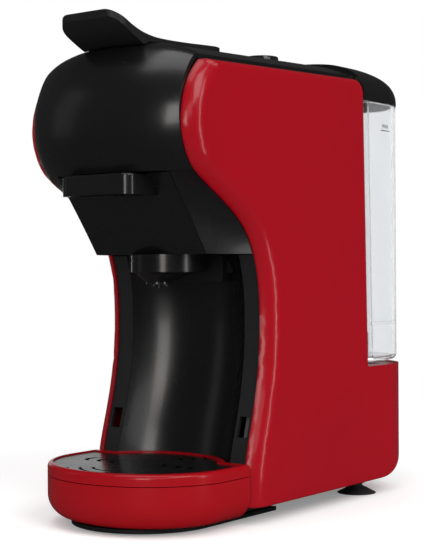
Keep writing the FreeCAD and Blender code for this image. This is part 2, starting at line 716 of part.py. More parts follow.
# ----------------------------------------------------------------------- lever
def lever_handle():
    """Paddle lever: a curved plate on the crown that flares up off the brow."""
    flat_z = lever_flat_z()
    upper = [
        (lever_tip_y, lever_tip_z), (lever_tip_y + 7.8, lever_tip_z - 4.6),
        (lever_tip_y + 18, lever_tip_z - 8.8), (lever_tip_y + 28.5, flat_z - 1.4),
        (lever_tip_y + 42, flat_z - 1.9), (lever_tip_y + 64, flat_z - 1.2),
        (lever_rear_y, flat_z),
    ]
    lower = [
        (lever_tip_y + 0.6, lever_tip_z - lever_thick), (lever_tip_y + 10, lever_tip_z - 10.2),
        (lever_tip_y + 18, lever_tip_z - 14.2), (lever_tip_y + 25, lever_tip_z - 17.0),
        (lever_tip_y + 36, flat_z - 7.6),
    ]
    x0 = -lever_half
    over = spline([(x0, y, z) for y, z in upper])
    under = spline([(x0, y, z) for y, z in lower])
    rear_low = V(x0, lever_rear_y, flat_z - lever_thick)
    edges = [
        over, under, Part.makeLine(V(x0, *upper[0]), V(x0, *lower[0])),
        Part.makeLine(V(x0, *lower[-1]), rear_low), Part.makeLine(rear_low, V(x0, *upper[-1])),
    ]
    plate = Part.Face(Part.Wire(Part.__sortEdges__(edges))).extrude(V(2 * lever_half, 0, 0))
    nose = 9.0
    straight = lever_half - lever_rear_round
    round_y = lever_rear_y - lever_rear_round
    rear_plan = box(-lever_half - 1, lever_half + 1, -200, round_y, 200, 400)
    middle = box(-straight, straight, -200, lever_rear_y + 1, 200, 400)
    rounds = [rod(lever_rear_round, (s * straight, round_y, 200), (0, 0, 1), 200) for s in (-1, 1)]
    plate = plate.common(fuse([rear_plan, middle] + rounds))
    tip = box(-lever_half - 1, lever_half + 1, lever_tip_y + nose, 100, 200, 400)
    tip_middle = box(-lever_half + nose, lever_half - nose, -200, 100, 200, 400)
    tips = [rod(nose, (s * (lever_half - nose), lever_tip_y + nose, 200), (0, 0, 1), 200) for s in (-1, 1)]
    plate = plate.common(fuse([tip, tip_middle] + tips))
    slot = lever_slot()
    room = slot.common(box(-depth, depth, lever_tip_y + 30.5, lever_rear_y + 2.5, 0, 400))
    arm_half = eye_in - 0.5
    below = [
        top_sheet(gap, -40.0).common(box(-depth, depth, brow_y, depth, 0, 400)),
        head_sheet(gap, -24.0).common(box(-depth, depth, -depth, brow_y, 0, 400)),
    ]
    for solid in below:
        plate = plate.cut(solid.cut(room.common(box(-arm_half, arm_half, -depth, depth, 0, 400))))
    hub = rod(5.0, (-arm_half, lever_pin_y, lever_pin_z), (1, 0, 0), 2 * arm_half)
    web = box(-arm_half, arm_half, lever_pin_y - 5.0, lever_pin_y + 2.0, lever_pin_z, flat_z - 2.0)
    crank_y, crank_z = crank_place()
    parts = [plate, hub, web]
    for side in (-1, 1):
        x = side * 5.0 - 1.5
        arm = prism_yz([
            (lever_pin_y - 4, lever_pin_z), (lever_pin_y + 4, lever_pin_z),
            (crank_y + 4, crank_z), (crank_y - 4, crank_z)], x, x + 3)
        parts += [arm, rod(4.0, (x, crank_y, crank_z), (1, 0, 0), 3)]
    lever = fuse(parts)
    lever = lever.cut(rod(lever_pin_d / 2 + 0.05, (-30, lever_pin_y, lever_pin_z), (1, 0, 0), 60))
    return lever.cut(rod(2.0, (-30, crank_y, crank_z), (1, 0, 0), 60))


def crank_place():
    """Centre of the crank pin, (y, z), with the lever down."""
    return lever_pin_y - 4.0, lever_pin_z - crank_drop


def lever_pin():
    """Steel pivot of the lever."""
    reach = eye_in + 3.0
    return rod(lever_pin_d / 2, (-reach, lever_pin_y, lever_pin_z), (1, 0, 0), 2 * reach)


def crank_pin():
    """Pin that the two links hang on."""
    crank_y, crank_z = crank_place()
    return rod(2.0, (-10.0, crank_y, crank_z), (1, 0, 0), 20)


def piston_pin_z():
    """Height of the pin in the piston's stem, lever down."""
    return piston_bottom + 26.0


def lever_links():
    """Two links from the crank pin to the piston, with a lost-motion slot at the piston's pin."""
    crank_y, crank_z = crank_place()
    end_y, end_z = brew_y, piston_pin_z()
    length = math.hypot(end_y - crank_y, end_z - crank_z)
    uy, uz = (end_y - crank_y) / length, (end_z - crank_z) / length
    ny, nz = -uz, uy
    bars = []
    for side in (-1, 1):
        x = side * 8.6 - 1.0
        corners = [
            (crank_y + 3 * ny, crank_z + 3 * nz), (end_y + 4 * uy + 8 * ny, end_z + 4 * uz + 8 * nz),
            (end_y + 4 * uy - 5 * ny, end_z + 4 * uz - 5 * nz), (crank_y - 3 * ny, crank_z - 3 * nz),
        ]
        bar = fuse([prism_yz(corners, x, x + 2), rod(4.0, (x, crank_y, crank_z), (1, 0, 0), 2)])
        bar = bar.cut(rod(2.06, (x - 1, crank_y, crank_z), (1, 0, 0), 4))
        slot = prism_yz([
            (end_y + along * uy + across * ny, end_z + along * uz + across * nz)
            for along, across in ((-7.1, -2.3), (-7.1, 4.9), (2.3, 4.9), (2.3, -2.3))], x - 1, x + 3)
        bars.append(bar.cut(slot))
    return Part.makeCompound(bars)


# ----------------------------------------------------------------- brew parts
frame_top = chin_z + 35.4          # top of the drawer's frame
basket_top = frame_top + 2.0
piston_bottom = basket_top + 0.5
head_low = basket_top + 0.8        # underside of the fixed brew head
door_back = 4.0


def drawer_front():
    """Gloss front of the capsule drawer with its grip tab."""
    count = 8
    heights = [door_top - (door_top - chin_z) * i / count for i in range(count + 1)]
    face = [(door_face_y(z), z) for z in heights]
    x0 = -door_half
    front = spline([(x0, y, z) for y, z in face])
    back = spline([(x0, y + door_back, z) for y, z in face])
    edges = [front, back] + [
        Part.makeLine(V(x0, y, z), V(x0, y + door_back, z)) for y, z in (face[0], face[-1])]
    panel = Part.Face(Part.Wire(Part.__sortEdges__(edges))).extrude(V(2 * door_half, 0, 0))
    nose = DOOR_Y[0] - tab_reach
    tab = box(-tab_half, tab_half, nose, DOOR_Y[1] + 8, door_top - tab_height, door_top - gap)
    upright = edges_where(tab, lambda p: abs(p.y - nose) < 0.01 and abs(abs(p.x) - tab_half) < 0.01)
    tab = tab.makeFillet(6.0, upright)
    rims = edges_where(tab, lambda p: p.y < nose + 6.5 and abs(p.z - door_top + gap) < 0.01)
    tab = tab.makeFillet(1.2, rims)
    behind = shifted_back(door_back)
    return fuse([panel, tab.cut(behind)])


def shifted_back(shift):
    """Everything behind the drawer front's face moved back by a shift."""
    count = 8
    face = [(door_face_y(door_top - (door_top - chin_z) * i / count) + shift,
             door_top - (door_top - chin_z) * i / count) for i in range(count + 1)]
    x0 = -door_half - 5
    front = spline([(x0, y, z) for y, z in face])
    top, low = V(x0, 50, door_top), V(x0, 50, chin_z)
    edges = [front, Part.makeLine(V(x0, *face[0]), top), Part.makeLine(top, low),
             Part.makeLine(low, V(x0, *face[-1]))]
    return Part.Face(Part.Wire(Part.__sortEdges__(edges))).extrude(V(2 * door_half + 10, 0, 0))


def drawer_frame():
    """Sliding frame behind the drawer front: floor, sides, wings and basket seat."""
    half = 34.0
    rear = brew_y + cup_d / 2 + basket_wall + 4.5
    block = box(-half, half, -150, rear, chin_z, frame_top)
    room = box(-half + 3, half - 3, -150, rear - 3, chin_z + 3, frame_top + 1)
    frame = block.cut(room).common(shifted_back(door_back + 0.05))
    seat = rod(cup_d / 2 + basket_wall + 3.0, (0, brew_y, frame_top - 4), (0, 0, 1), 4)
    bridges = box(-half + 1, half - 1, brew_y - 8, brew_y + 8, frame_top - 4, frame_top)
    wings = [box(s * half if s > 0 else -half - 5, half + 5 if s > 0 else -half, brew_y - 6, rear,
                 chin_z + 11.4, chin_z + 14.4) for s in (-1, 1)]
    frame = fuse([frame, seat, bridges] + wings)
    frame = frame.cut(rod(cup_d / 2 + basket_wall + 0.2, (0, brew_y, chin_z + 3), (0, 0, 1), 60))
    return frame.cut(rod(5.0, (0, brew_y, chin_z - 1), (0, 0, 1), 10))


def capsule_basket():
    """Removable cup that takes the coffee capsule."""
    low = frame_top - cup_depth - 1.0
    cup = rod(cup_d / 2 + basket_wall, (0, brew_y, low), (0, 0, 1), basket_top - low)
    rim = rod(cup_d / 2 + basket_wall + 2.6, (0, brew_y, frame_top), (0, 0, 1), basket_top - frame_top)
    cup = fuse([cup, rim]).cut(rod(cup_d / 2, (0, brew_y, low + basket_wall), (0, 0, 1), 60))
    for turn in range(5):
        angle = turn * 2 * math.pi / 5
        cup = cup.cut(rod(1.2, (6 * math.cos(angle), brew_y + 6 * math.sin(angle), low - 1), (0, 0, 1), 6))
    return cup


def spout():
    """Spout under the drawer: a round cup that slants to the outlet."""
    low = spout_bottom
    ring = tube(spout_d / 2, spout_d / 2 - 2, (0, spout_y, low), (0, 0, 1), chin_z - low)
    groove = tube(spout_d / 2 + 1, spout_d / 2 - 0.5, (0, spout_y, low + 6.2), (0, 0, 1), 0.6)
    wires, holes = [], []
    for share, z in ((0.0, low), (0.35, low - 1.2), (1.0, outlet_bottom + 2.6)):
        y = spout_y + (outlet_y - spout_y) * share
        radius = spout_d / 2 + (7.5 - spout_d / 2) * share
        for group, less in ((wires, 0.0), (holes, 2.0)):
            circle = Part.Circle(V(0, y, z), V(0, 0, 1), radius - less)
            group.append(Part.Wire([circle.toShape()]))
    funnel = Part.makeLoft(wires, True, True).cut(Part.makeLoft(holes, True, True))
    return fuse([ring.cut(groove), funnel])


def spout_outlet():
    """Small rose that splits the coffee stream."""
    low = outlet_bottom
    top = low + 2.6
    plate = rod(7.0, (0, outlet_y, low + 1.2), (0, 0, 1), top - low - 1.2)
    nibs = [rod(1.3, (4.2 * math.cos(a), outlet_y + 4.2 * math.sin(a), low), (0, 0, 1), 1.4)
            for a in (math.pi / 6, 5 * math.pi / 6, -math.pi / 2)]
    rose = fuse([plate, rod(0.9, (0, outlet_y, low - 1.0), (0, 0, 1), 2.6)] + nibs)
    holes = [rod(1.0, (x, outlet_y, low), (0, 0, 1), 5) for x in (-2.2, 2.2)]
    return rose.cut(holes)


def brew_piston():
    """Piston that presses on the capsule, with its stem."""
    disc = rod(piston_d / 2, (0, brew_y, piston_bottom + 1.5), (0, 0, 1), 9.0)
    stem = rod(7.0, (0, brew_y, piston_bottom + 10.0), (0, 0, 1), 21.0)
    piston = fuse([disc, stem])
    groove = tube(piston_d / 2 + 1, piston_d / 2 - 1.6, (0, brew_y, piston_bottom + 5.0), (0, 0, 1), 2.4)
    return piston.cut(groove).cut(rod(1.9, (-20, brew_y, piston_pin_z()), (1, 0, 0), 40))


def piston_pin():
    """Cross pin in the piston's stem."""
    return rod(1.9, (-10.0, brew_y, piston_pin_z()), (1, 0, 0), 20)


def piston_seal():
    """Rubber ring in the piston's groove."""
    return tube(piston_d / 2 + 0.1, piston_d / 2 - 1.6, (0, brew_y, piston_bottom + 5.0), (0, 0, 1), 2.4)


def shower_plate():
    """Steel water plate under the piston."""
    plate = rod(piston_d / 2 - 1, (0, brew_y, piston_bottom), (0, 0, 1), 1.5)
    for turn in range(8):
        angle = turn * math.pi / 4
        plate = plate.cut(rod(0.9, (11 * math.cos(angle), brew_y + 11 * math.sin(angle), piston_bottom - 1),
                              (0, 0, 1), 4))
    return plate


def brew_head():
    """Fixed cylinder that guides the piston, hung between the frame's cheeks."""
    height = 9.0 + piston_travel + 3.0
    body = rod(piston_d / 2 + 4.0, (0, brew_y, head_low), (0, 0, 1), height)
    plate = box(-44.0, 44.0, brew_y - 14, brew_y + 14, head_low + 6, head_low + 10)
    head = fuse([body, plate])
    return head.cut(rod(piston_d / 2 + 0.4, (0, brew_y, head_low - 1), (0, 0, 1), height + 2))


# ------------------------------------------------------------------ inside body
cheek_in = 44.0           # inner face of the frame's cheeks
cheek_thick = 2.5
shelf_z = 97.0
board_z = 242.0


def inner_frame():
    """Frame inside the body: two cheeks, a rear tie and the drawer's ledges."""
    rear = shell_rear_top - 6.0
    parts = []
    for side in (-1, 1):
        x = cheek_in if side > 0 else -cheek_in - cheek_thick
        face = shell_outline(x, 6.5)
        cheek = face.extrude(V(cheek_thick, 0, 0)).cut(box(-60, 60, rear, depth, 0, 300))
        for low in (30.0, 112.0):
            cheek = cheek.cut(box(-60, 60, -10, rear - 12, low, low + 50))
        foot = box(x, x + cheek_thick, -30.0, rear, body_bottom, body_bottom + 7)
        y0, y1 = brew_y - 4, rear - 25
        ledge_x = (cheek_in - 7.0, cheek_in) if side > 0 else (-cheek_in, -cheek_in + 7.0)
        ledge = box(*ledge_x, y0, y1, chin_z + 8.4, chin_z + 11.0)
        bracket_x = (eye_in, cheek_in) if side > 0 else (-cheek_in, -eye_in)
        eye_x = (eye_in, eye_in + 3.0) if side > 0 else (-eye_in - 3.0, -eye_in)
        bracket = box(*bracket_x, lever_pin_y - 6, lever_pin_y + 6, board_z - 14, board_z - 11)
        post = box(*eye_x, lever_pin_y - 5, lever_pin_y + 5, board_z - 14, lever_pin_z - 1)
        eye = rod(3.9, (eye_x[0], lever_pin_y, lever_pin_z - 1.2), (1, 0, 0), 3.0)
        ears = fuse([bracket, post, eye])
        parts += [cheek, foot, ledge, ears]
    tie = box(-cheek_in, cheek_in, rear - 2.5, rear, 140.0, 232.0)
    frame = fuse(parts + [tie])
    return frame.cut(rod(lever_pin_d / 2, (-30, lever_pin_y, lever_pin_z), (1, 0, 0), 60))


def bay_ceiling():
    """Closing block behind the spout, at the top of the bay."""
    top = chin_z - gap
    block = fuse([
        box(-22, 22, spout_y + spout_d / 2 + 1.0, -24.0, chin_z - 15.5, top),
        box(-26, 26, -28.0, -24.0, chin_z - 10.5, top),
    ])
    wider = box(-26, 26, -24.0, 0.0, chin_z - 15.5, top)
    front_of_wall = shell_front_of_bay()
    return fuse([block, wider]).common(front_of_wall)


def shell_front_of_bay():
    """All the space in front of the bay wall's hollow face."""
    low = chin_z - 20.0
    wires = []
    for z in (low, low + 7, low + 14, chin_z):
        arc = bay_section(z, -gap, bay_half - gap)
        half = bay_half - gap
        y = bay_wall_y(z) - gap
        sides = [Part.makeLine(V(s * half, y, z), V(s * half, -depth, z)) for s in (-1, 1)]
        across = Part.makeLine(V(-half, -depth, z), V(half, -depth, z))
        wires.append(Part.Wire(Part.__sortEdges__([arc, sides[0], sides[1], across])))
    return Part.makeLoft(wires, True, True)


def pump():
    """Vibrating pump: coil frame round a barrel, lying along the body."""
    x, z = -20.0, 40.0
    barrel = rod(9.0, (x, 0, z), (0, 1, 0), pump_len - 10)
    coil = box(x - pump_d / 2, x + pump_d / 2, 8, 8 + pump_d, z - pump_d / 2, z + pump_d / 2)
    nose = rod(3.0, (x, pump_len - 10, z), (0, 1, 0), 6)
    return fuse([barrel, coil, nose])


def pump_mounts():
    """Two rubber blocks under the pump."""
    z = 40.0 - pump_d / 2
    return Part.makeCompound([box(-30, -10, y, y + 8, body_bottom, z) for y in (10.0, 32.0)])


def flow_meter():
    """Small turbine housing that counts the water."""
    body = rod(14.0, (22, 24, body_bottom), (0, 0, 1), 14.0)
    inlet = rod(3.0, (22, 36, body_bottom + 7), (0, 1, 0), 8)
    outlet = rod(3.0, (22, 24, body_bottom + 14), (0, 0, 1), 8)
    return fuse([body, inlet, outlet])


def heater_shelf():
    """Sheet-metal shelf between the cheeks that carries the heater."""
    return box(-cheek_in, cheek_in, -6.0, 48.0, shelf_z, shelf_z + 2.0)


def thermoblock():
    """Cast heater block with its water stubs and terminals."""
    z = shelf_z + 2.0
    half = heater_d / 2
    block = box(-half, half, -2.0, 42.0, z, z + heater_h / 2)
    dome = box(-half + 6, half - 6, 4.0, 36.0, z + heater_h / 2, z + heater_h / 2 + 8)
    stubs = [rod(3.0, (x, 20, z + heater_h / 2 + 8), (0, 0, 1), 8) for x in (-16, 16)]
    tabs = [box(x - 3, x + 3, 42, 47, z + 9, z + 10) for x in (-20, 20)]
    for index in range(5):
        x = -half + 7 + index * 11
        block = block.cut(box(x, x + 3, -3, 1.5, z + 2, z + heater_h / 2 - 2))
    return fuse([block, dome] + stubs + tabs)


def hose(points, radius):
    """A soft tube along straight runs joined by tangent arcs."""
    spots = [V(*p) for p in points]
    edges = []
    last = spots[0]
    for before, corner, after in zip(spots, spots[1:], spots[2:]):
        into = (corner - before).normalize()
        out = (after - corner).normalize()
        turn = math.acos(max(-1.0, min(1.0, into.dot(out))))
        run = min((corner - before).Length, (after - corner).Length)
        bend = 0.45 * run
        start, end = corner - into * bend, corner + out * bend
        size = bend / math.tan(turn / 2)
        bisector = (out - into).normalize()
        centre = corner + bisector * (size / math.cos(turn / 2))
        middle = centre - bisector * size
        edges += [Part.makeLine(last, start), Part.Arc(start, middle, end).toShape()]
        last = end
    edges.append(Part.makeLine(last, spots[-1]))
    path = Part.Wire(edges)
    direction = (spots[1] - spots[0]).normalize()
    outer = Part.Wire([Part.Circle(spots[0], direction, radius).toShape()])
    bore = Part.Wire([Part.Circle(spots[0], direction, radius * 0.6).toShape()])
    return path.makePipeShell([outer], True, False).cut(path.makePipeShell([bore], True, False))


def suction_hose():
    """Hose from the tank socket down to the flow meter."""
    low = notch_z - 12.0
    return hose([
        (valve_x, valve_y, low), (valve_x, valve_y, low - 22), (valve_x - 3, 78.0, low - 42),
        (valve_x - 14, 62.0, body_bottom + 12), (22, 54.0, body_bottom + 7),
        (22, 44.0, body_bottom + 7)], 3.0)


def button(x, y):
    """Round push button with a skirt under the cover and a stem to its switch."""
    surface = top_line(y) + crown_lip + crown_at(x, crown - crown_lip, seam_in)
    top = surface + button_proud
    cap = rod(button_d / 2, (x, y, top - 10), (0, 0, 1), 10)
    rim = edges_where(cap, lambda p: abs(p.z - top) < 0.01)
    cap = cap.makeFillet(0.8, rim)
    skirt = rod(button_d / 2 + 1.5, (x, y, top - 11.5), (0, 0, 1), 1.5)
    stem = rod(2.0, (x, y, board_z + 11.2), (0, 0, 1), top - 11.5 - board_z - 11.2)
    return fuse([cap, skirt, stem])


def control_board():
    """Circuit board under the buttons with their two switches."""
    y0 = button_y - 16
    board = box(-cheek_in, cheek_in, y0, y0 + 34, board_z, board_z + 1.6)
    switches = [box(x - 5, x + 5, y - 5, y + 5, board_z + 1.6, board_z + 9.6) for x, y in button_places()]
    chips = [box(-36, -26, y0 + 4, y0 + 24, board_z + 1.6, board_z + 5), rod(5, (32, y0 + 10, board_z + 1.6),
                                                                            (0, 0, 1), 9)]
    return fuse([board] + switches + chips)


def case_screws():
    """Screws that hold the base plate and the rear panel."""
    screws = []
    for x in (-40.0, 40.0):
        for y in (-30.0, 40.0):
            screws.append(rod(3.2, (x, y, body_bottom - wall - 1.6), (0, 0, 1), 1.6))
    return Part.makeCompound(screws)


def all_parts():
    """Every sub-part by name."""
    shell = side_shell()
    rail = tray_rail()
    return {
        "side_shell_right": shell, "side_shell_left": mirror_x(shell),
        "head_cover": head_cover(), "top_cover": top_cover(),
        "bay_wall": bay_wall(), "bay_ceiling": bay_ceiling(),
        "tray_rail_right": rail, "tray_rail_left": mirror_x(rail),
        "base_plate": base_plate(), "front_pads": front_pads(), "suction_feet": suction_feet(),
        "rear_wall": rear_wall(), "tank_deck": tank_deck(), "rear_cover": rear_cover(),
        "cable_gland": cable_gland(), "tank_socket": tank_socket(), "socket_seal": socket_seal(),
        "inner_frame": inner_frame(), "heater_shelf": heater_shelf(), "thermoblock": thermoblock(),
        "pump": pump(), "pump_mounts": pump_mounts(), "flow_meter": flow_meter(),
        "suction_hose": suction_hose(), "control_board": control_board(),
        "case_screws": case_screws(), "brew_head": brew_head(), "lever_pin": lever_pin(),
        "lever_handle": lever_handle(), "crank_pin": crank_pin(), "lever_links": lever_links(),
        "brew_piston": brew_piston(), "piston_pin": piston_pin(), "piston_seal": piston_seal(),
        "shower_plate": shower_plate(),
        "drawer_front": drawer_front(), "drawer_frame": drawer_frame(), "spout": spout(),
        "spout_outlet": spout_outlet(), "capsule_basket": capsule_basket(),
        "tray_tub": tray_tub(), "tray_rim": tray_rim(), "drip_grille": drip_grille(),
        "water_tank": water_tank(), "tank_valve_body": tank_valve_body(), "tank_lid": tank_lid(),
        "valve_plunger": valve_plunger(), "valve_spring": valve_spring(),
        "brew_button_left": button(-button_x, button_y), "brew_button_right": button(button_x, button_y),
    }


def main():
    """Write one STEP file per sub-part."""
    os.makedirs("parts", exist_ok=True)
    for name, shape in all_parts().items():
        if not shape.isValid():
            raise ValueError(name + " is not a valid shape")
        shape.exportStep(os.path.join("parts", name + ".step"))


main()
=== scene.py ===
"""Looks of the pod coffee machine: its finishes, its modelled pieces, the light and the camera.

Everything is in metres, in the machine's own frame: +Z up, -Y towards the drip tray, +Y towards the
water tank. The modelled pieces take their places from the boxes of the construction nodes.
"""
import json
import logging
import math
from dataclasses import dataclass, field
from enum import Enum
from typing import Iterable, Sequence

import bpy
from mathutils import Matrix, Vector

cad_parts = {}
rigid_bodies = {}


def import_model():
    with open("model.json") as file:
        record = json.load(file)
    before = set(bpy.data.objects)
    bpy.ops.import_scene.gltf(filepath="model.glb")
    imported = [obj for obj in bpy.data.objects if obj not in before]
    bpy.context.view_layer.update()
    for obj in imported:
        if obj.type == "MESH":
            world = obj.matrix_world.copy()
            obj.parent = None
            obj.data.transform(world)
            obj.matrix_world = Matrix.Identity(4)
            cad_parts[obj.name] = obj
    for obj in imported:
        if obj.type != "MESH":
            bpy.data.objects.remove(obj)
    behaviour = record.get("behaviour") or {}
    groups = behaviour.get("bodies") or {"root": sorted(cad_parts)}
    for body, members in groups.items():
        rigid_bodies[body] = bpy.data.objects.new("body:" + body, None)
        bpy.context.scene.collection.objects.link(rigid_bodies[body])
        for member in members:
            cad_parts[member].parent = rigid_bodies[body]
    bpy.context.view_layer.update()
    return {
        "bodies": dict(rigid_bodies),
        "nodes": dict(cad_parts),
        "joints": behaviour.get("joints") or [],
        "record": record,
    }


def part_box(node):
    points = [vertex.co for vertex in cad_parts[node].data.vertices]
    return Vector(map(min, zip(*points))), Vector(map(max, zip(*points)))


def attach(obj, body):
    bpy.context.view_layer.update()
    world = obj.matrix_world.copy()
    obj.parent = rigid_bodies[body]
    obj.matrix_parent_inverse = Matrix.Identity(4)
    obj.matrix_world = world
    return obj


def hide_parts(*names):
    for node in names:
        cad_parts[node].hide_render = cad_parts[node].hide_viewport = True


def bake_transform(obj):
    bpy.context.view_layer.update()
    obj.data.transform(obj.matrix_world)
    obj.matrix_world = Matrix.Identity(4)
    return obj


LOG = logging.getLogger("coffee_machine")
MM = 0.001
SHARP_EDGE = 30.0
SAME_POINT = 0.00001

Colour = tuple[float, float, float]
Value = bpy.types.NodeSocket | float


class Body(Enum):
    """Groups of the machine that a modelled piece rides on."""

    MACHINE = "root"
    DRAWER = "drawer"
    TANK = "tank"
    VALVE = "valve"
    LEFT_BUTTON = "left_button"
    RIGHT_BUTTON = "right_button"


# ------------------------------------------------------------------------------ shader node groups
@dataclass(frozen=True)
class Effect:
    """A shared shader effect: a node group with named inputs and outputs.

    Args:
        name: name of the node group.
        inputs: input names with their default values.
        outputs: output names; each gives a number.
    """

    name: str
    inputs: tuple[tuple[str, float], ...]
    outputs: tuple[str, ...]

    def open_tree(self) -> tuple[bpy.types.NodeTree, bpy.types.Node, bpy.types.Node]:
        """Make the empty group with its sockets.

        Returns:
            The group's tree, its input node and its output node.
        """
        tree = bpy.data.node_groups.new(self.name, "ShaderNodeTree")
        for label, value in self.inputs:
            socket = tree.interface.new_socket(label, in_out="INPUT", socket_type="NodeSocketFloat")
            socket.default_value = value
        for label in self.outputs:
            tree.interface.new_socket(label, in_out="OUTPUT", socket_type="NodeSocketFloat")
        return tree, tree.nodes.new("NodeGroupInput"), tree.nodes.new("NodeGroupOutput")


def feed(tree: bpy.types.NodeTree, socket: bpy.types.NodeSocket, value: Value) -> None:
    """Link a socket into another, or set a number on it.

    Args:
        tree: tree that both belong to.
        socket: the input that is fed.
        value: socket or number to feed it with.
    """
    if isinstance(value, (int, float)):
        socket.default_value = value
    else:
        tree.links.new(value, socket)


def math_node(tree: bpy.types.NodeTree, operation: str, first: Value,
              second: Value) -> bpy.types.NodeSocket:
    """Add one Math node.

    Args:
        tree: tree to add it to.
        operation: the Math node's operation.
        first: socket or number for the first value.
        second: socket or number for the second value.

    Returns:
        The node's result socket.
    """
    node = tree.nodes.new("ShaderNodeMath")
    node.operation = operation
    feed(tree, node.inputs[0], first)
    feed(tree, node.inputs[1], second)
    return node.outputs[0]


def noise_node(tree: bpy.types.NodeTree, place: bpy.types.NodeSocket, scale: Value,
               detail: float = 2.0, rough: float = 0.5) -> bpy.types.NodeSocket:
    """Add a noise texture read at a place.

    Args:
        tree: tree to add it to.
        place: vector socket that the noise is read at.
        scale: socket or number of the noise's scale.
        detail: octaves of the noise.
        rough: how strongly the finer octaves count.

    Returns:
        The noise's value socket.
    """
    node = tree.nodes.new("ShaderNodeTexNoise")
    node.inputs["Detail"].default_value = detail
    node.inputs["Roughness"].default_value = rough
    tree.links.new(place, node.inputs["Vector"])
    feed(tree, node.inputs["Scale"], scale)
    return node.outputs["Fac"]


def object_place(tree: bpy.types.NodeTree) -> bpy.types.NodeSocket:
    """The Object coordinate of the shaded point, in metres of the machine's frame."""
    return tree.nodes.new("ShaderNodeTexCoord").outputs["Object"]


class Effects:
    """The effects that several finishes share, each built once."""

    def __init__(self) -> None:
        """Build every group."""
        self.flow = self.moulding_flow()
        self.grain = self.spark_grain()
        self.handling = self.handling_film()
        self.brush = self.brushed_lines()
        self.scuff = self.fine_scuffs()

    @staticmethod
    def moulding_flow() -> bpy.types.NodeTree:
        """Slow waviness and fine ripple of a polished moulding, as a height, and a tone shift.

        Returns:
            The effect's tree.
        """
        spec = Effect("moulding_flow", (("Wave Scale", 14.0), ("Wave", 0.6), ("Ripple Scale", 900.0),
                                        ("Ripple", 0.1)), ("Height", "Tone"))
        tree, ins, outs = spec.open_tree()
        place = object_place(tree)
        wave = noise_node(tree, place, ins.outputs["Wave Scale"], 1.0)
        ripple = noise_node(tree, place, ins.outputs["Ripple Scale"], 2.0)
        height = math_node(tree, "ADD", math_node(tree, "MULTIPLY", wave, ins.outputs["Wave"]),
                           math_node(tree, "MULTIPLY", ripple, ins.outputs["Ripple"]))
        tree.links.new(height, outs.inputs["Height"])
        tree.links.new(noise_node(tree, place, 9.0, 3.0, 0.6), outs.inputs["Tone"])
        return tree

    @staticmethod
    def spark_grain() -> bpy.types.NodeTree:
        """Spark-eroded grain of a satin moulding: packed small cells over a finer noise.

        Returns:
            The effect's tree.
        """
        spec = Effect("spark_grain", (("Scale", 1500.0), ("Depth", 1.0)), ("Height", "Pits"))
        tree, ins, outs = spec.open_tree()
        place = object_place(tree)
        cells = tree.nodes.new("ShaderNodeTexVoronoi")
        cells.feature = "SMOOTH_F1"
        tree.links.new(place, cells.inputs["Vector"])
        tree.links.new(ins.outputs["Scale"], cells.inputs["Scale"])
        fine = noise_node(tree, place, math_node(tree, "MULTIPLY", ins.outputs["Scale"], 1.7), 2.0)
        mixed = math_node(tree, "ADD", cells.outputs["Distance"], math_node(tree, "MULTIPLY", fine, 0.6))
        tree.links.new(math_node(tree, "MULTIPLY", mixed, ins.outputs["Depth"]), outs.inputs["Height"])
        tree.links.new(cells.outputs["Distance"], outs.inputs["Pits"])
        return tree

    @staticmethod
    def handling_film() -> bpy.types.NodeTree:
        """Patches left by wiping and fingers, as a number from 0 to 1 that roughens a gloss.

        Returns:
            The effect's tree.
        """
        spec = Effect("handling_film", (("Scale", 22.0), ("Amount", 0.5)), ("Film",))
        tree, ins, outs = spec.open_tree()
        place = object_place(tree)
        patches = noise_node(tree, place, ins.outputs["Scale"], 5.0, 0.62)
        streak = tree.nodes.new("ShaderNodeMapping")
        streak.inputs["Scale"].default_value = (6.0, 6.0, 0.9)
        streak.inputs["Rotation"].default_value = (0.3, 0.2, 0.4)
        tree.links.new(place, streak.inputs["Vector"])
        wiped = noise_node(tree, streak.outputs["Vector"], 14.0, 4.0, 0.6)
        level = math_node(tree, "MULTIPLY", patches, wiped)
        sharp = tree.nodes.new("ShaderNodeMapRange")
        sharp.inputs["From Min"].default_value = 0.18
        sharp.inputs["From Max"].default_value = 0.42
        tree.links.new(level, sharp.inputs["Value"])
        tree.links.new(math_node(tree, "MULTIPLY", sharp.outputs["Result"], ins.outputs["Amount"]),
                       outs.inputs["Film"])
        return tree

    @staticmethod
    def brushed_lines() -> bpy.types.NodeTree:
        """Fine lines along Z, from stretched noise.

        Returns:
            The effect's tree.
        """
        spec = Effect("brushed_lines", (("Scale", 700.0),), ("Height",))
        tree, ins, outs = spec.open_tree()
        stretch = tree.nodes.new("ShaderNodeMapping")
        stretch.inputs["Scale"].default_value = (1.0, 1.0, 0.03)
        tree.links.new(object_place(tree), stretch.inputs["Vector"])
        tree.links.new(noise_node(tree, stretch.outputs["Vector"], ins.outputs["Scale"], 3.0),
                       outs.inputs["Height"])
        return tree

    @staticmethod
    def fine_scuffs() -> bpy.types.NodeTree:
        """Sparse hairline scuffs, as a number from 0 to 1.

        Returns:
            The effect's tree.
        """
        spec = Effect("fine_scuffs", (("Scale", 60.0), ("Amount", 0.4)), ("Scuff",))
        tree, ins, outs = spec.open_tree()
        place = object_place(tree)
        warp = tree.nodes.new("ShaderNodeMapping")
        warp.inputs["Rotation"].default_value = (0.5, 0.9, 0.7)
        warp.inputs["Scale"].default_value = (1.0, 14.0, 1.0)
        tree.links.new(place, warp.inputs["Vector"])
        lines = noise_node(tree, warp.outputs["Vector"], ins.outputs["Scale"], 2.0, 0.4)
        band = tree.nodes.new("ShaderNodeMapRange")
        band.inputs["From Min"].default_value = 0.66
        band.inputs["From Max"].default_value = 0.72
        tree.links.new(lines, band.inputs["Value"])
        tree.links.new(math_node(tree, "MULTIPLY", band.outputs["Result"], ins.outputs["Amount"]),
                       outs.inputs["Scuff"])
        return tree


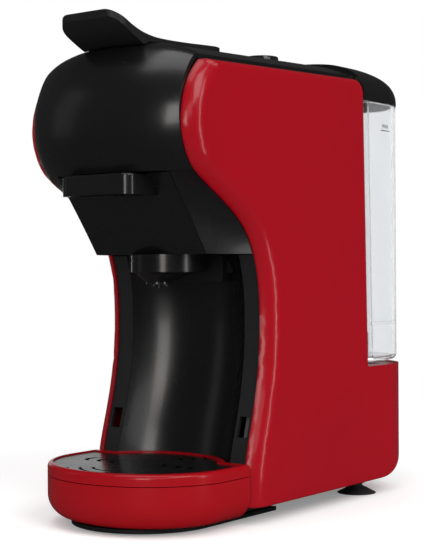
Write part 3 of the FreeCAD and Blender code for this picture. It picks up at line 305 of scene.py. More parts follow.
# ------------------------------------------------------------------------------------- finishes
def place_group(tree: bpy.types.NodeTree, group: bpy.types.NodeTree, **values: float) -> bpy.types.Node:
    """Put a shared effect into a material.

    Args:
        tree: the material's tree.
        group: the effect's node group.
        values: input values; an underscore in a name stands for a space.

    Returns:
        The group node.
    """
    node = tree.nodes.new("ShaderNodeGroup")
    node.node_tree = group
    for label, value in values.items():
        node.inputs[label.replace("_", " ")].default_value = value
    return node


def tint(tree: bpy.types.NodeTree, factor: bpy.types.NodeSocket, low: Colour,
         high: Colour) -> bpy.types.NodeSocket:
    """A colour between two, by a factor socket.

    Args:
        tree: tree to add the node to.
        factor: socket that is 0 for the first colour and 1 for the second.
        low: the first colour, linear.
        high: the second colour, linear.

    Returns:
        The mixed colour's socket.
    """
    ramp = tree.nodes.new("ShaderNodeValToRGB")
    ramp.color_ramp.elements[0].color = (*low, 1.0)
    ramp.color_ramp.elements[1].color = (*high, 1.0)
    ramp.color_ramp.elements[0].position = 0.25
    ramp.color_ramp.elements[1].position = 0.75
    tree.links.new(factor, ramp.inputs["Fac"])
    return ramp.outputs["Color"]


def scaled(colour: Colour, by: float) -> Colour:
    """A colour made lighter or darker by a factor."""
    return tuple(min(1.0, channel * by) for channel in colour)


def ranged(tree: bpy.types.NodeTree, factor: bpy.types.NodeSocket, low: float,
           high: float) -> bpy.types.NodeSocket:
    """A number between two, by a factor socket.

    Args:
        tree: tree to add the node to.
        factor: socket that is 0 for the first number and 1 for the second.
        low: the first number.
        high: the second number.

    Returns:
        The number's socket.
    """
    node = tree.nodes.new("ShaderNodeMapRange")
    node.inputs["To Min"].default_value = low
    node.inputs["To Max"].default_value = high
    tree.links.new(factor, node.inputs["Value"])
    return node.outputs["Result"]


@dataclass(frozen=True)
class Finish:
    """What every finish of the machine has.

    Args:
        name: material name.
        colour: base colour, linear.
        roughness: how dull the surface is where it is clean.
        edge: radius in metres over which hard edges catch the light.
    """

    name: str
    colour: Colour
    roughness: float
    edge: float = 0.0004

    def shader(self) -> tuple[bpy.types.Material, bpy.types.NodeTree, bpy.types.Node]:
        """Make the material with its one shader.

        Returns:
            The material, its tree and its Principled shader.
        """
        material = bpy.data.materials.new(self.name)
        material.use_nodes = True
        tree = material.node_tree
        shader = tree.nodes["Principled BSDF"]
        shader.inputs["Base Color"].default_value = (*self.colour, 1.0)
        shader.inputs["Roughness"].default_value = self.roughness
        material.diffuse_color = (*self.colour, 1.0)
        return material, tree, shader

    def relief(self, tree: bpy.types.NodeTree, shader: bpy.types.Node,
               height: bpy.types.NodeSocket, depth: float) -> None:
        """Feed a height through a bump, over softened edges, into the shader.

        Args:
            tree: the material's tree.
            shader: the shader whose normal is set.
            height: socket of the height.
            depth: bump distance in metres.
        """
        bump = tree.nodes.new("ShaderNodeBump")
        bump.inputs["Distance"].default_value = depth
        bump.inputs["Strength"].default_value = 1.0
        tree.links.new(height, bump.inputs["Height"])
        if self.edge > 0.0:
            soft = tree.nodes.new("ShaderNodeBevel")
            soft.samples = 4
            soft.inputs["Radius"].default_value = self.edge
            tree.links.new(soft.outputs["Normal"], bump.inputs["Normal"])
        tree.links.new(bump.outputs["Normal"], shader.inputs["Normal"])


@dataclass(frozen=True)
class PolishedMoulding(Finish):
    """Injection-moulded plastic from a polished tool, with wiping marks and hairlines.

    Args:
        coat: weight of the clear gloss over the colour.
        film: how much the wiping marks dull it.
        tone: how far the colour wanders.
        wave: depth of the slow waviness, in metres.
        shine: specular level under the coat.
        handled: how much duller the handled patches are.
        coat_roughness: roughness of the clear gloss.
    """

    coat: float = 0.3
    film: float = 0.35
    tone: float = 0.06
    wave: float = 0.00001
    shine: float = 0.22
    handled: float = 0.16
    coat_roughness: float = 0.06

    def build(self, effects: Effects) -> bpy.types.Material:
        """Make the material.

        Args:
            effects: the shared effects.

        Returns:
            The material.
        """
        material, tree, shader = self.shader()
        shader.inputs["Specular IOR Level"].default_value = self.shine
        flow = place_group(tree, effects.flow, Wave_Scale=16.0, Wave=1.0, Ripple_Scale=850.0, Ripple=0.018)
        film = place_group(tree, effects.handling, Scale=20.0, Amount=self.film)
        scuff = place_group(tree, effects.scuff, Scale=85.0, Amount=self.film * 0.8)
        tree.links.new(tint(tree, flow.outputs["Tone"], scaled(self.colour, 1.0 - self.tone),
                            scaled(self.colour, 1.0 + self.tone)), shader.inputs["Base Color"])
        dull = math_node(tree, "MAXIMUM", film.outputs["Film"], scuff.outputs["Scuff"])
        tree.links.new(ranged(tree, dull, self.roughness, self.roughness + self.handled),
                       shader.inputs["Roughness"])
        shader.inputs["Coat Weight"].default_value = self.coat
        shader.inputs["Coat Roughness"].default_value = self.coat_roughness
        self.relief(tree, shader, flow.outputs["Height"], self.wave)
        return material


@dataclass(frozen=True)
class SatinMoulding(Finish):
    """Moulded plastic from a spark-eroded tool, with an even fine grain.

    Args:
        grain: grain cells per metre.
        depth: depth of the grain, in metres.
        rub: how much of the surface handling reaches.
        shine: specular level.
        untouched: how much duller it is where nothing has rubbed it.
        rubbed: how much smoother it is where it is rubbed.
    """

    grain: float = 1400.0
    depth: float = 0.00004
    rub: float = 0.3
    shine: float = 0.3
    untouched: float = 0.05
    rubbed: float = 0.12

    def build(self, effects: Effects) -> bpy.types.Material:
        """Make the material.

        Args:
            effects: the shared effects.

        Returns:
            The material.
        """
        material, tree, shader = self.shader()
        shader.inputs["Specular IOR Level"].default_value = self.shine
        grain = place_group(tree, effects.grain, Scale=self.grain, Depth=1.0)
        film = place_group(tree, effects.handling, Scale=26.0, Amount=self.rub)
        tree.links.new(tint(tree, grain.outputs["Pits"], scaled(self.colour, 0.82),
                            scaled(self.colour, 1.18)), shader.inputs["Base Color"])
        tree.links.new(ranged(tree, film.outputs["Film"], self.roughness + self.untouched,
                              self.roughness - self.rubbed), shader.inputs["Roughness"])
        self.relief(tree, shader, grain.outputs["Height"], self.depth)
        return material


@dataclass(frozen=True)
class MouldedRubber(Finish):
    """Matt rubber with bloom on it.

    Args:
        depth: depth of the grain, in metres.
        pitted: how much duller the pits of the grain are.
    """

    depth: float = 0.00005
    pitted: float = 0.12

    def build(self, effects: Effects) -> bpy.types.Material:
        """Make the material.

        Args:
            effects: the shared effects.

        Returns:
            The material.
        """
        material, tree, shader = self.shader()
        grain = place_group(tree, effects.grain, Scale=900.0, Depth=1.0)
        bloom = place_group(tree, effects.handling, Scale=60.0, Amount=1.0)
        tree.links.new(tint(tree, bloom.outputs["Film"], self.colour, scaled(self.colour, 1.9)),
                       shader.inputs["Base Color"])
        tree.links.new(ranged(tree, grain.outputs["Pits"], self.roughness, self.roughness + self.pitted),
                       shader.inputs["Roughness"])
        self.relief(tree, shader, grain.outputs["Height"], self.depth)
        return material


@dataclass(frozen=True)
class WorkedMetal(Finish):
    """Bare or plated metal with the lines of its working.

    Args:
        lines: working lines per metre.
        depth: depth of the lines, in metres.
        scuffed: how much duller the scuffs are.
    """

    lines: float = 900.0
    depth: float = 0.00002
    scuffed: float = 0.2

    def build(self, effects: Effects) -> bpy.types.Material:
        """Make the material.

        Args:
            effects: the shared effects.

        Returns:
            The material.
        """
        material, tree, shader = self.shader()
        shader.inputs["Metallic"].default_value = 1.0
        brush = place_group(tree, effects.brush, Scale=self.lines)
        scuff = place_group(tree, effects.scuff, Scale=120.0, Amount=0.6)
        tree.links.new(tint(tree, brush.outputs["Height"], scaled(self.colour, 0.85),
                            scaled(self.colour, 1.1)), shader.inputs["Base Color"])
        tree.links.new(ranged(tree, scuff.outputs["Scuff"], self.roughness, self.roughness + self.scuffed),
                       shader.inputs["Roughness"])
        self.relief(tree, shader, brush.outputs["Height"], self.depth)
        return material


@dataclass(frozen=True)
class ClearMoulding(Finish):
    """Clear plastic with faint flow and a light film of water marks.

    Args:
        clear: how much light goes through.
        fog: how much duller the water marks make it.
        bend: refractive index.
        depth: depth of the flow, in metres.
    """

    clear: float = 0.9
    fog: float = 0.12
    bend: float = 1.12
    depth: float = 0.00005

    def build(self, effects: Effects) -> bpy.types.Material:
        """Make the material.

        Args:
            effects: the shared effects.

        Returns:
            The material.
        """
        material, tree, shader = self.shader()
        shader.inputs["Transmission Weight"].default_value = self.clear
        shader.inputs["IOR"].default_value = self.bend
        flow = place_group(tree, effects.flow, Wave_Scale=12.0, Wave=1.0, Ripple_Scale=400.0, Ripple=0.05)
        film = place_group(tree, effects.handling, Scale=34.0, Amount=1.0)
        tree.links.new(tint(tree, flow.outputs["Tone"], scaled(self.colour, 0.97), self.colour),
                       shader.inputs["Base Color"])
        tree.links.new(ranged(tree, film.outputs["Film"], self.roughness, self.roughness + self.fog),
                       shader.inputs["Roughness"])
        self.relief(tree, shader, flow.outputs["Height"], self.depth)
        return material


@dataclass(frozen=True)
class CircuitBoard(Finish):
    """Solder resist over copper tracks."""

    def build(self, effects: Effects) -> bpy.types.Material:
        """Make the material.

        Args:
            effects: the shared effects.

        Returns:
            The material.
        """
        material, tree, shader = self.shader()
        cells = tree.nodes.new("ShaderNodeTexBrick")
        cells.inputs["Scale"].default_value = 160.0
        cells.inputs["Mortar Size"].default_value = 0.03
        cells.inputs["Color1"].default_value = (*self.colour, 1.0)
        cells.inputs["Color2"].default_value = (*scaled(self.colour, 1.25), 1.0)
        cells.inputs["Mortar"].default_value = (*scaled(self.colour, 2.2), 1.0)
        tree.links.new(object_place(tree), cells.inputs["Vector"])
        tree.links.new(cells.outputs["Color"], shader.inputs["Base Color"])
        film = place_group(tree, effects.handling, Scale=80.0, Amount=0.6)
        tree.links.new(ranged(tree, film.outputs["Film"], self.roughness, self.roughness + 0.15),
                       shader.inputs["Roughness"])
        self.relief(tree, shader, cells.outputs["Fac"], 0.00003)
        return material


class Finishes:
    """Every finish of the machine, by the slot that the record names."""

    RED: Colour = (0.3, 0.001, 0.007)
    TRAY_RED: Colour = (0.29, 0.001, 0.005)
    BLACK: Colour = (0.006, 0.006, 0.0065)

    def __init__(self) -> None:
        """Build the shared effects and one material per slot."""
        effects = Effects()
        palette = {
            "red_gloss": PolishedMoulding("red gloss shell", self.RED, 0.24, 0.002, coat=0.25, film=0.06),
            "tray_red": PolishedMoulding("red gloss tray", self.TRAY_RED, 0.24, 0.0, coat=0.2, film=0.2),
            "black_gloss": PolishedMoulding("black gloss moulding", self.BLACK, 0.24, 0.0, coat=0.1,
                                            tone=0.2, shine=0.5),
            "button_gloss": PolishedMoulding("black gloss button", (0.01, 0.01, 0.011), 0.16, coat=0.5),
            "satin_lever": SatinMoulding("satin lever", (0.011, 0.011, 0.012), 0.42, 0.0006, depth=0.00002),
            "dark_satin": SatinMoulding("satin charcoal moulding", (0.014, 0.0145, 0.0155), 0.4),
            "black_moulding": SatinMoulding("matt black moulding", (0.009, 0.009, 0.01), 0.5),
            "frame_moulding": SatinMoulding("glass filled grey moulding", (0.1, 0.1, 0.11), 0.55),
            "pump_moulding": SatinMoulding("pump moulding", (0.05, 0.05, 0.055), 0.5),
            "pale_nylon": SatinMoulding("natural nylon", (0.7, 0.68, 0.62), 0.45, grain=700.0),
            "valve_moulding": SatinMoulding("dark valve moulding", (0.05, 0.052, 0.06), 0.4),
            "clear_tank": ClearMoulding("clear tank moulding", (0.93, 0.945, 0.955), 0.05),
            "steel": WorkedMetal("stainless steel", (0.55, 0.54, 0.53), 0.28),
            "zinc_sheet": WorkedMetal("zinc plated sheet", (0.5, 0.51, 0.53), 0.38, lines=400.0),
            "zinc_screw": WorkedMetal("zinc plated screw", (0.46, 0.47, 0.5), 0.3),
            "cast_aluminium": WorkedMetal("cast aluminium", (0.5, 0.5, 0.51), 0.5, lines=250.0),
            "circuit_board": CircuitBoard("circuit board", (0.008, 0.09, 0.03), 0.4),
            "rubber": MouldedRubber("black rubber", (0.012, 0.012, 0.012), 0.78),
            "seal_rubber": MouldedRubber("red silicone seal", (0.28, 0.03, 0.02), 0.6),
            "hose_rubber": MouldedRubber("silicone hose", (0.5, 0.5, 0.47), 0.5),
        }
        self.by_slot = {slot: finish.build(effects) for slot, finish in palette.items()}
        self.print_ink = SatinMoulding("grey print", (0.30, 0.32, 0.35), 0.6, 0.0).build(effects)

    def wear(self, piece: bpy.types.Object, slot: str) -> None:
        """Give a piece the finish of a slot, as its only material.

        Args:
            piece: object to dress.
            slot: the record's slot.
        """
        piece.data.materials.clear()
        piece.data.materials.append(self.by_slot[slot])


# ------------------------------------------------------------------------------ modelling by hand
class Bench:
    """The few modelling moves that the pieces share, each with Blender's own operators."""

    @staticmethod
    def clear() -> None:
        """Leave edit mode and deselect everything."""
        if bpy.context.object and bpy.context.object.mode == "EDIT":
            bpy.ops.object.mode_set(mode="OBJECT")
        bpy.ops.object.select_all(action="DESELECT")

    @staticmethod
    def take(piece: bpy.types.Object) -> None:
        """Select one piece alone and make it active.

        Args:
            piece: object to select.
        """
        Bench.clear()
        piece.select_set(True)
        bpy.context.view_layer.objects.active = piece

    @staticmethod
    def block(name: str, low: Sequence[float], high: Sequence[float]) -> bpy.types.Object:
        """Add a block between two corners.

        Args:
            name: object name.
            low: lowest corner.
            high: highest corner.

        Returns:
            The new object.
        """
        Bench.clear()
        middle = [(a + b) / 2 for a, b in zip(low, high)]
        bpy.ops.mesh.primitive_cube_add(size=1.0, location=middle)
        piece = bpy.context.object
        piece.name = name
        piece.scale = [b - a for a, b in zip(low, high)]
        return Bench.settle(piece)

    @staticmethod
    def settle(piece: bpy.types.Object) -> bpy.types.Object:
        """Put a piece's place into its mesh, so that its object sits at the origin.

        Args:
            piece: object to settle.

        Returns:
            The same object.
        """
        Bench.take(piece)
        bpy.ops.object.transform_apply(location=True, rotation=True, scale=True)
        return piece

    @staticmethod
    def soften(piece: bpy.types.Object, width: float, segments: int = 3) -> None:
        """Round a piece's edges with an applied Bevel modifier.

        Args:
            piece: object to round.
            width: width of the rounding in metres.
            segments: segments across it.
        """
        Bench.take(piece)
        bevel = piece.modifiers.new("rounding", "BEVEL")
        bevel.width = width
        bevel.segments = segments
        bevel.limit_method = "ANGLE"
        bevel.angle_limit = math.radians(SHARP_EDGE)
        bpy.ops.object.modifier_apply(modifier=bevel.name)

    @staticmethod
    def cut(piece: bpy.types.Object, tool: bpy.types.Object) -> None:
        """Cut one closed piece with another, which is used up.

        Args:
            piece: the piece that is cut.
            tool: the piece that is taken away from it.
        """
        Bench.take(piece)
        boolean = piece.modifiers.new("cut", "BOOLEAN")
        boolean.operation = "DIFFERENCE"
        boolean.solver = "EXACT"
        boolean.object = tool
        bpy.ops.object.modifier_apply(modifier=boolean.name)
        bpy.data.objects.remove(tool)

    @staticmethod
    def join(pieces: Sequence[bpy.types.Object], name: str) -> bpy.types.Object:
        """Join several pieces into one object.

        Args:
            pieces: objects to join; the first stays.
            name: name of the joined object.

        Returns:
            The joined object.
        """
        Bench.clear()
        for piece in pieces:
            piece.select_set(True)
        bpy.context.view_layer.objects.active = pieces[0]
        if len(pieces) > 1:
            bpy.ops.object.join()
        pieces[0].name = name
        return pieces[0]

    @staticmethod
    def copy(piece: bpy.types.Object, name: str, offset: Sequence[float]) -> bpy.types.Object:
        """Copy a piece with its own mesh, moved by an offset.

        Args:
            piece: object to copy.
            name: name of the copy.
            offset: how far it is moved.

        Returns:
            The copy.
        """
        twin = piece.copy()
        twin.data = piece.data.copy()
        twin.name = name
        twin.data.transform(Matrix.Translation(Vector(offset)))
        bpy.context.scene.collection.objects.link(twin)
        return twin

    @staticmethod
    def lathe(name: str, outline: Iterable[tuple[float, float]], axis: Sequence[float],
              steps: int = 96) -> bpy.types.Object:
        """Turn an outline of (radius, height) round a vertical axis into a closed piece.

        Args:
            name: object name.
            outline: corners from the top of the axis to its foot.
            axis: a point on the axis; heights count from its Z.
            steps: steps of the full turn.

        Returns:
            The new object.
        """
        points = [Vector((axis[0] + r, axis[1], axis[2] + z)) for r, z in outline]
        Bench.clear()
        bpy.ops.mesh.primitive_plane_add(size=1.0, location=points[0])
        piece = Bench.settle(bpy.context.object)
        piece.name = name
        bpy.ops.object.mode_set(mode="EDIT")
        bpy.ops.mesh.select_mode(type="VERT")
        bpy.ops.mesh.select_all(action="SELECT")
        bpy.ops.mesh.merge(type="CENTER")
        for start, end in zip(points, points[1:]):
            bpy.ops.mesh.extrude_vertices_move(TRANSFORM_OT_translate={"value": end - start})
        bpy.ops.mesh.select_all(action="SELECT")
        bpy.ops.mesh.spin(steps=steps, angle=math.tau, center=tuple(axis), axis=(0.0, 0.0, 1.0))
        bpy.ops.mesh.select_all(action="SELECT")
        bpy.ops.mesh.remove_doubles(threshold=SAME_POINT)
        bpy.ops.mesh.normals_make_consistent(inside=False)
        bpy.ops.object.mode_set(mode="OBJECT")
        return piece

    @staticmethod
    def shade(piece: bpy.types.Object, angle: float = 32.0) -> None:
        """Shade a piece smooth where its faces meet at less than an angle.

        Args:
            piece: object to shade.
            angle: the angle in degrees.
        """
        Bench.take(piece)
        bpy.ops.object.shade_smooth_by_angle(angle=math.radians(angle))
        Bench.clear()


@dataclass
class Machine:
    """What the sub-assemblies share: the frame, the finishes and how a piece is handed over."""

    frame: dict
    finishes: Finishes
    made: list[bpy.types.Object] = field(default_factory=list)

    def node(self, name: str) -> bpy.types.Object:
        """A construction node's object."""
        return self.frame["nodes"][name]

    def slot_of(self, name: str) -> str:
        """The material slot that the record gives a node.

        Args:
            name: the node's name.

        Returns:
            The slot's name.
        """
        for entry in self.frame["record"]["subparts"]:
            if entry["node"] == name:
                return entry["material_slot"]
        raise KeyError(name)

    def dress(self, name: str) -> None:
        """Give a construction node the finish of its slot."""
        self.finishes.wear(self.node(name), self.slot_of(name))

    def hand_over(self, piece: bpy.types.Object, body: Body, slot: str, replaces: Sequence[str] = (),
                  smooth: float = 32.0, held: tuple[Body, Vector, Vector] | None = None,
                  ) -> bpy.types.Object:
        """Finish a modelled piece: shade it, dress it and let it ride, or, when it is held, fix it in place
        on no body.

        Args:
            piece: the modelled object.
            body: the moving group it rides on.
            slot: the record's slot of its finish.
            replaces: construction nodes that it stands for.
            smooth: shading angle in degrees.
            held: for a spring, the body at its far end and the points where it leaves each body. Only
                whether it is given is used: then the piece stays fixed where it is, on no body.

        Returns:
            The same object.
        """
        Bench.shade(piece, smooth)
        self.finishes.wear(piece, slot)
        if held:
            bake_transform(piece)
        else:
            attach(piece, body.value)
        if replaces:
            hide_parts(*replaces)
        self.made.append(piece)
        LOG.info("piece %s rides on %s", piece.name, body.value)
        return piece


# ---------------------------------------------------------------------------------- sub-assemblies
@dataclass
class Casing:
    """Red side shells, black covers, the bay behind the cup and the rear of the machine."""

    machine: Machine
    nodes: tuple[str, ...] = (
        "side_shell_right", "side_shell_left", "head_cover", "top_cover", "bay_wall", "bay_ceiling",
        "tray_rail_right", "tray_rail_left", "base_plate", "front_pads", "rear_wall",
        "tank_deck", "rear_cover", "cable_gland", "tank_socket", "socket_seal",
    )
    louvres: int = 7
    louvre_half: float = 16.0 * MM
    louvre_high: float = 1.6 * MM
    louvre_pitch: float = 4.2 * MM
    vent_rise: float = 6.0 * MM
    louvre_deep: float = 1.0 * MM
    louvre_sink: float = 0.02 * MM
    louvre_round: float = 0.45 * MM
    foot_radius: float = 12.0 * MM
    screw_radius: float = 3.2 * MM
    recess_half: float = 1.6 * MM
    recess_wide: float = 0.7 * MM
    recess_deep: float = 0.9 * MM

    def build(self) -> None:
        """Dress the casing and add what its rear and its underside show."""
        for name in self.nodes:
            self.machine.dress(name)
        self.vents()
        self.feet()
        self.screws()

    def feet(self) -> None:
        """Two rubber suction feet, each a thin cup under a short neck."""
        low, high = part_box("suction_feet")
        radius = self.foot_radius
        centre_y = (low.y + high.y) / 2
        outline = [(0.0, 7.5), (4.8, 7.5), (5.0, 7.2), (5.0, 6.5), (4.6, 6.1), (3.5, 5.7), (3.5, 4.9),
                   (4.3, 4.2), (7.0, 2.9), (9.6, 1.5), (11.4, 0.6), (12.0, 0.25), (11.9, 0.0),
                   (10.6, 0.3), (7.4, 1.3), (4.0, 2.2), (0.0, 2.6)]
        cups = []
        for x in (low.x + radius, high.x - radius):
            cups.append(Bench.lathe("suction_cup", [(r * MM, z * MM) for r, z in outline],
                                    (x, centre_y, 0.0)))
        joined = Bench.join(cups, "suction_cups")
        self.machine.hand_over(joined, Body.MACHINE, "rubber", ("suction_feet",), 50.0)

    def screws(self) -> None:
        """Four domed screw heads with a cross recess, under the base."""
        low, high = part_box("case_screws")
        radius = self.screw_radius
        x, y = low.x + radius, low.y + radius
        outline = [(0.0, high.z), (radius, high.z), (radius, high.z - 0.5 * MM),
                   (radius - 0.35 * MM, high.z - 1.05 * MM), (radius - 1.1 * MM, low.z + 0.15 * MM),
                   (radius - 2.0 * MM, low.z), (0.0, low.z)]
        head = Bench.lathe("screw_head", outline, (x, y, 0.0), 48)
        long, narrow = self.recess_half, self.recess_wide / 2
        for half_x, half_y in ((long, narrow), (narrow, long)):
            slit = Bench.block("recess", (x - half_x, y - half_y, low.z - 0.3 * MM),
                               (x + half_x, y + half_y, low.z + self.recess_deep))
            Bench.cut(head, slit)
        heads = [head]
        across, along = high.x - low.x - 2 * radius, high.y - low.y - 2 * radius
        for step_x, step_y in ((across, 0.0), (0.0, along), (across, along)):
            heads.append(Bench.copy(head, "screw_head", (step_x, step_y, 0.0)))
        joined = Bench.join(heads, "case_screw_heads")
        self.machine.hand_over(joined, Body.MACHINE, "zinc_screw", ("case_screws",), 30.0)

    def vents(self) -> None:
        """Louvre bars just under the rear cover's outer face, which show only in its vent slots."""
        low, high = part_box("rear_cover")
        middle = (low.z + high.z) / 2 + self.vent_rise
        first = middle - (self.louvres - 1) * self.louvre_pitch / 2
        bars = []
        for index in range(self.louvres):
            z = first + index * self.louvre_pitch
            bar = Bench.block("vent_louvre", (-self.louvre_half, high.y - self.louvre_deep, z),
                              (self.louvre_half, high.y - self.louvre_sink, z + self.louvre_high))
            Bench.soften(bar, self.louvre_round)
            bars.append(bar)
        joined = Bench.join(bars, "vent_louvres")
        self.machine.hand_over(joined, Body.MACHINE, "dark_satin")


@dataclass
class Press:
    """Lever, links, piston and the fixed parts that guide them."""

    machine: Machine
    nodes: tuple[str, ...] = (
        "lever_handle", "crank_pin", "lever_links", "brew_piston", "piston_pin", "piston_seal",
        "shower_plate", "brew_head", "lever_pin", "inner_frame", "heater_shelf", "thermoblock", "pump",
        "pump_mounts", "flow_meter", "suction_hose", "control_board",
    )

    def build(self) -> None:
        """Dress the press and what the body holds inside."""
        for name in self.nodes:
            self.machine.dress(name)


@dataclass
class Drawer:
    """Capsule drawer with its spout."""

    machine: Machine
    nodes: tuple[str, ...] = ("drawer_front", "drawer_frame", "spout", "spout_outlet", "capsule_basket")
    grips: int = 5
    grip_half: float = 12.0 * MM
    grip_wide: float = 0.9 * MM
    grip_pitch: float = 2.4 * MM
    grip_round: float = 0.3 * MM
    grip_deep: float = 0.9 * MM
    first_grip: float = 3.0 * MM
    top_to_underside: float = 11.5 * MM

    def build(self) -> None:
        """Dress the drawer and add the grip ribs that the fingers find under its tab."""
        for name in self.nodes:
            self.machine.dress(name)
        self.grip_ribs()

    def grip_ribs(self) -> None:
        """Low rounded ribs on the underside of the grip tab, one behind the other."""
        low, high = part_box("drawer_front")
        under = high.z - self.top_to_underside
        ribs = []
        for index in range(self.grips):
            y = low.y + self.first_grip + index * self.grip_pitch
            rib = Bench.block("grip_rib", (-self.grip_half, y, under - self.grip_deep),
                              (self.grip_half, y + self.grip_wide, under))
            Bench.soften(rib, self.grip_round)
            ribs.append(rib)
        joined = Bench.join(ribs, "tab_grip_ribs")
        self.machine.hand_over(joined, Body.DRAWER, "black_gloss")


@dataclass
class DripTray:
    """Tub, rim and grille of the drip tray."""

    machine: Machine
    nodes: tuple[str, ...] = ("tray_tub", "tray_rim", "drip_grille")

    def build(self) -> None:
        """Dress the tray."""
        for name in self.nodes:
            self.machine.dress(name)


@dataclass
class Tank:
    """Clear water tank with its lid, its outlet valve and its fill mark."""

    machine: Machine
    nodes: tuple[str, ...] = ("water_tank", "tank_valve_body", "tank_lid", "valve_plunger")
    coil_turns: int = 6
    wire: float = 0.35 * MM
    mark_high: float = 3.6 * MM
    mark_below_top: float = 15.0 * MM
    mark_from_front: float = 20.0 * MM
    ink: float = 0.1 * MM
    line_half: float = 5.5 * MM
    line_low: float = 1.7 * MM
    line_top: float = 1.2 * MM
    wire_sides: int = 10
    coil_steps: int = 24
    same_turn_point: float = 0.001 * MM

    def build(self) -> None:
        """Dress the tank and add its mark and the valve's coil."""
        for name in self.nodes:
            self.machine.dress(name)
        self.fill_mark()
        self.coil()

    def fill_mark(self) -> None:
        """The word MAX over a line, printed on the tank's right wall."""
        low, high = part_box("water_tank")
        x = high.x - self.ink / 2
        z = high.z - self.mark_below_top
        y = low.y + self.mark_from_front
        Bench.clear()
        bpy.ops.object.text_add(location=(x, y, z), rotation=(math.pi / 2, 0.0, math.pi / 2))
        word = bpy.context.object
        word.data.body = "MAX"
        word.data.size = self.mark_high
        word.data.align_x = "CENTER"
        word.data.extrude = self.ink / 2
        bpy.ops.object.convert(target="MESH")
        word.name = "fill_word"
        Bench.settle(word)
        line = Bench.block("fill_line", (x - self.ink / 2, y - self.line_half, z - self.line_low),
                           (x + self.ink / 2, y + self.line_half, z - self.line_top))
        mark = Bench.join([word, line], "fill_mark")
        self.machine.hand_over(mark, Body.TANK, "valve_moulding")
        mark.data.materials.clear()
        mark.data.materials.append(self.machine.finishes.print_ink)

    def coil(self) -> None:
        """Wire spring on the valve's stem, wound with a Screw modifier."""
        low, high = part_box("valve_spring")
        centre = (low + high) / 2
        radius = (high.x - low.x) / 2 - self.wire
        Bench.clear()
        bpy.ops.mesh.primitive_circle_add(vertices=self.wire_sides, radius=self.wire, fill_type="NGON",
                                          location=(radius, 0.0, 0.0), rotation=(math.pi / 2, 0.0, 0.0))
        wire = bpy.context.object
        wire.name = "valve_coil"
        Bench.settle(wire)
        screw = wire.modifiers.new("winding", "SCREW")
        screw.axis = "Z"
        screw.angle = math.tau * self.coil_turns
        screw.screw_offset = high.z - low.z - 2 * self.wire
        screw.steps = screw.render_steps = self.coil_steps * self.coil_turns
        screw.use_merge_vertices = False
        Bench.take(wire)
        bpy.ops.object.modifier_apply(modifier=screw.name)
        wire.data.transform(Matrix.Translation((centre.x, centre.y, low.z + self.wire)))
        bpy.ops.object.mode_set(mode="EDIT")
        bpy.ops.mesh.select_all(action="SELECT")
        bpy.ops.mesh.remove_doubles(threshold=self.same_turn_point)
        bpy.ops.mesh.normals_make_consistent(inside=False)
        bpy.ops.object.mode_set(mode="OBJECT")
        self.machine.hand_over(wire, Body.VALVE, "steel", ("valve_spring",), 60.0,
                               (Body.TANK, Vector((centre.x, centre.y, low.z)),
                                Vector((centre.x, centre.y, high.z))))


@dataclass
class Buttons:
    """Two round push buttons in the top, each a dished cap with raised bars."""

    machine: Machine
    dish: float = 0.5 * MM
    rim: float = 1.1 * MM
    skirt: float = 6.0 * MM
    wall: float = 1.2 * MM
    roof: float = 4.0 * MM
    stem: float = 3.0 * MM
    bar_half: float = 0.35 * MM
    bar_long: float = 2.2 * MM
    bar_pitch: float = 2.0 * MM
    bar_sunk: float = 0.3 * MM
    bar_proud: float = 0.12 * MM
    bar_round: float = 0.1 * MM

    def build(self) -> None:
        """Model both buttons."""
        self.cap("brew_button_left", Body.LEFT_BUTTON, 1)
        self.cap("brew_button_right", Body.RIGHT_BUTTON, 2)

    def cap(self, name: str, body: Body, bars: int) -> None:
        """Model one button's cap and the bars that tell a short from a long cup.

        Args:
            name: construction node that the cap stands for.
            body: the button's own moving group.
            bars: how many bars the cap carries.
        """
        low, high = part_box(name)
        centre = (low + high) / 2
        radius = (high.x - low.x) / 2
        top = high.z
        outline = [(0.0, top - self.dish), (radius * 0.45, top - self.dish * 0.8),
                   (radius - self.rim * 1.6, top - self.dish * 0.25), (radius - self.rim, top),
                   (radius - 0.3 * MM, top - 0.15 * MM), (radius, top - 0.7 * MM),
                   (radius, top - self.skirt), (radius - self.wall, top - self.skirt),
                   (radius - self.wall, top - self.roof), (self.stem, top - self.roof),
                   (self.stem, low.z), (0.0, low.z)]
        cap = Bench.lathe(name + "_cap", outline, (centre.x, centre.y, 0.0))
        self.machine.hand_over(cap, body, "button_gloss", (name,), 40.0)
        marks = []
        for index in range(bars):
            x = centre.x + (index - (bars - 1) / 2) * self.bar_pitch
            mark = Bench.block("bar", (x - self.bar_half, centre.y - self.bar_long,
                                       top - self.dish - self.bar_sunk),
                               (x + self.bar_half, centre.y + self.bar_long,
                                top - self.dish + self.bar_proud))
            Bench.soften(mark, self.bar_round, 2)
            marks.append(mark)
        joined = Bench.join(marks, name + "_mark")
        self.machine.hand_over(joined, body, "steel")


# ------------------------------------------------------------------------------ stage, light, camera
@dataclass(frozen=True)
class SoftBox:
    """A rectangular lamp of the studio.

    Args:
        name: lamp name.
        place: where it stands.
        aim: the point it shines at.
        size: width and height.
        power: watts.
        colour: colour of its light.
    """

    name: str
    place: tuple[float, float, float]
    aim: tuple[float, float, float]
    size: tuple[float, float]
    power: float
    colour: Colour = (1.0, 1.0, 1.0)

    def build(self) -> bpy.types.Object:
        """Add the lamp.

        Returns:
            The lamp's object.
        """
        data = bpy.data.lights.new(self.name, "AREA")
        data.shape = "RECTANGLE"
        data.size, data.size_y = self.size
        data.energy = self.power
        data.color = self.colour
        lamp = bpy.data.objects.new(self.name, data)
        bpy.context.scene.collection.objects.link(lamp)
        place = Vector(self.place)
        turn = (Vector(self.aim) - place).to_track_quat("-Z", "Y")
        lamp.matrix_world = Matrix.Translation(place) @ turn.to_matrix().to_4x4()
        return lamp


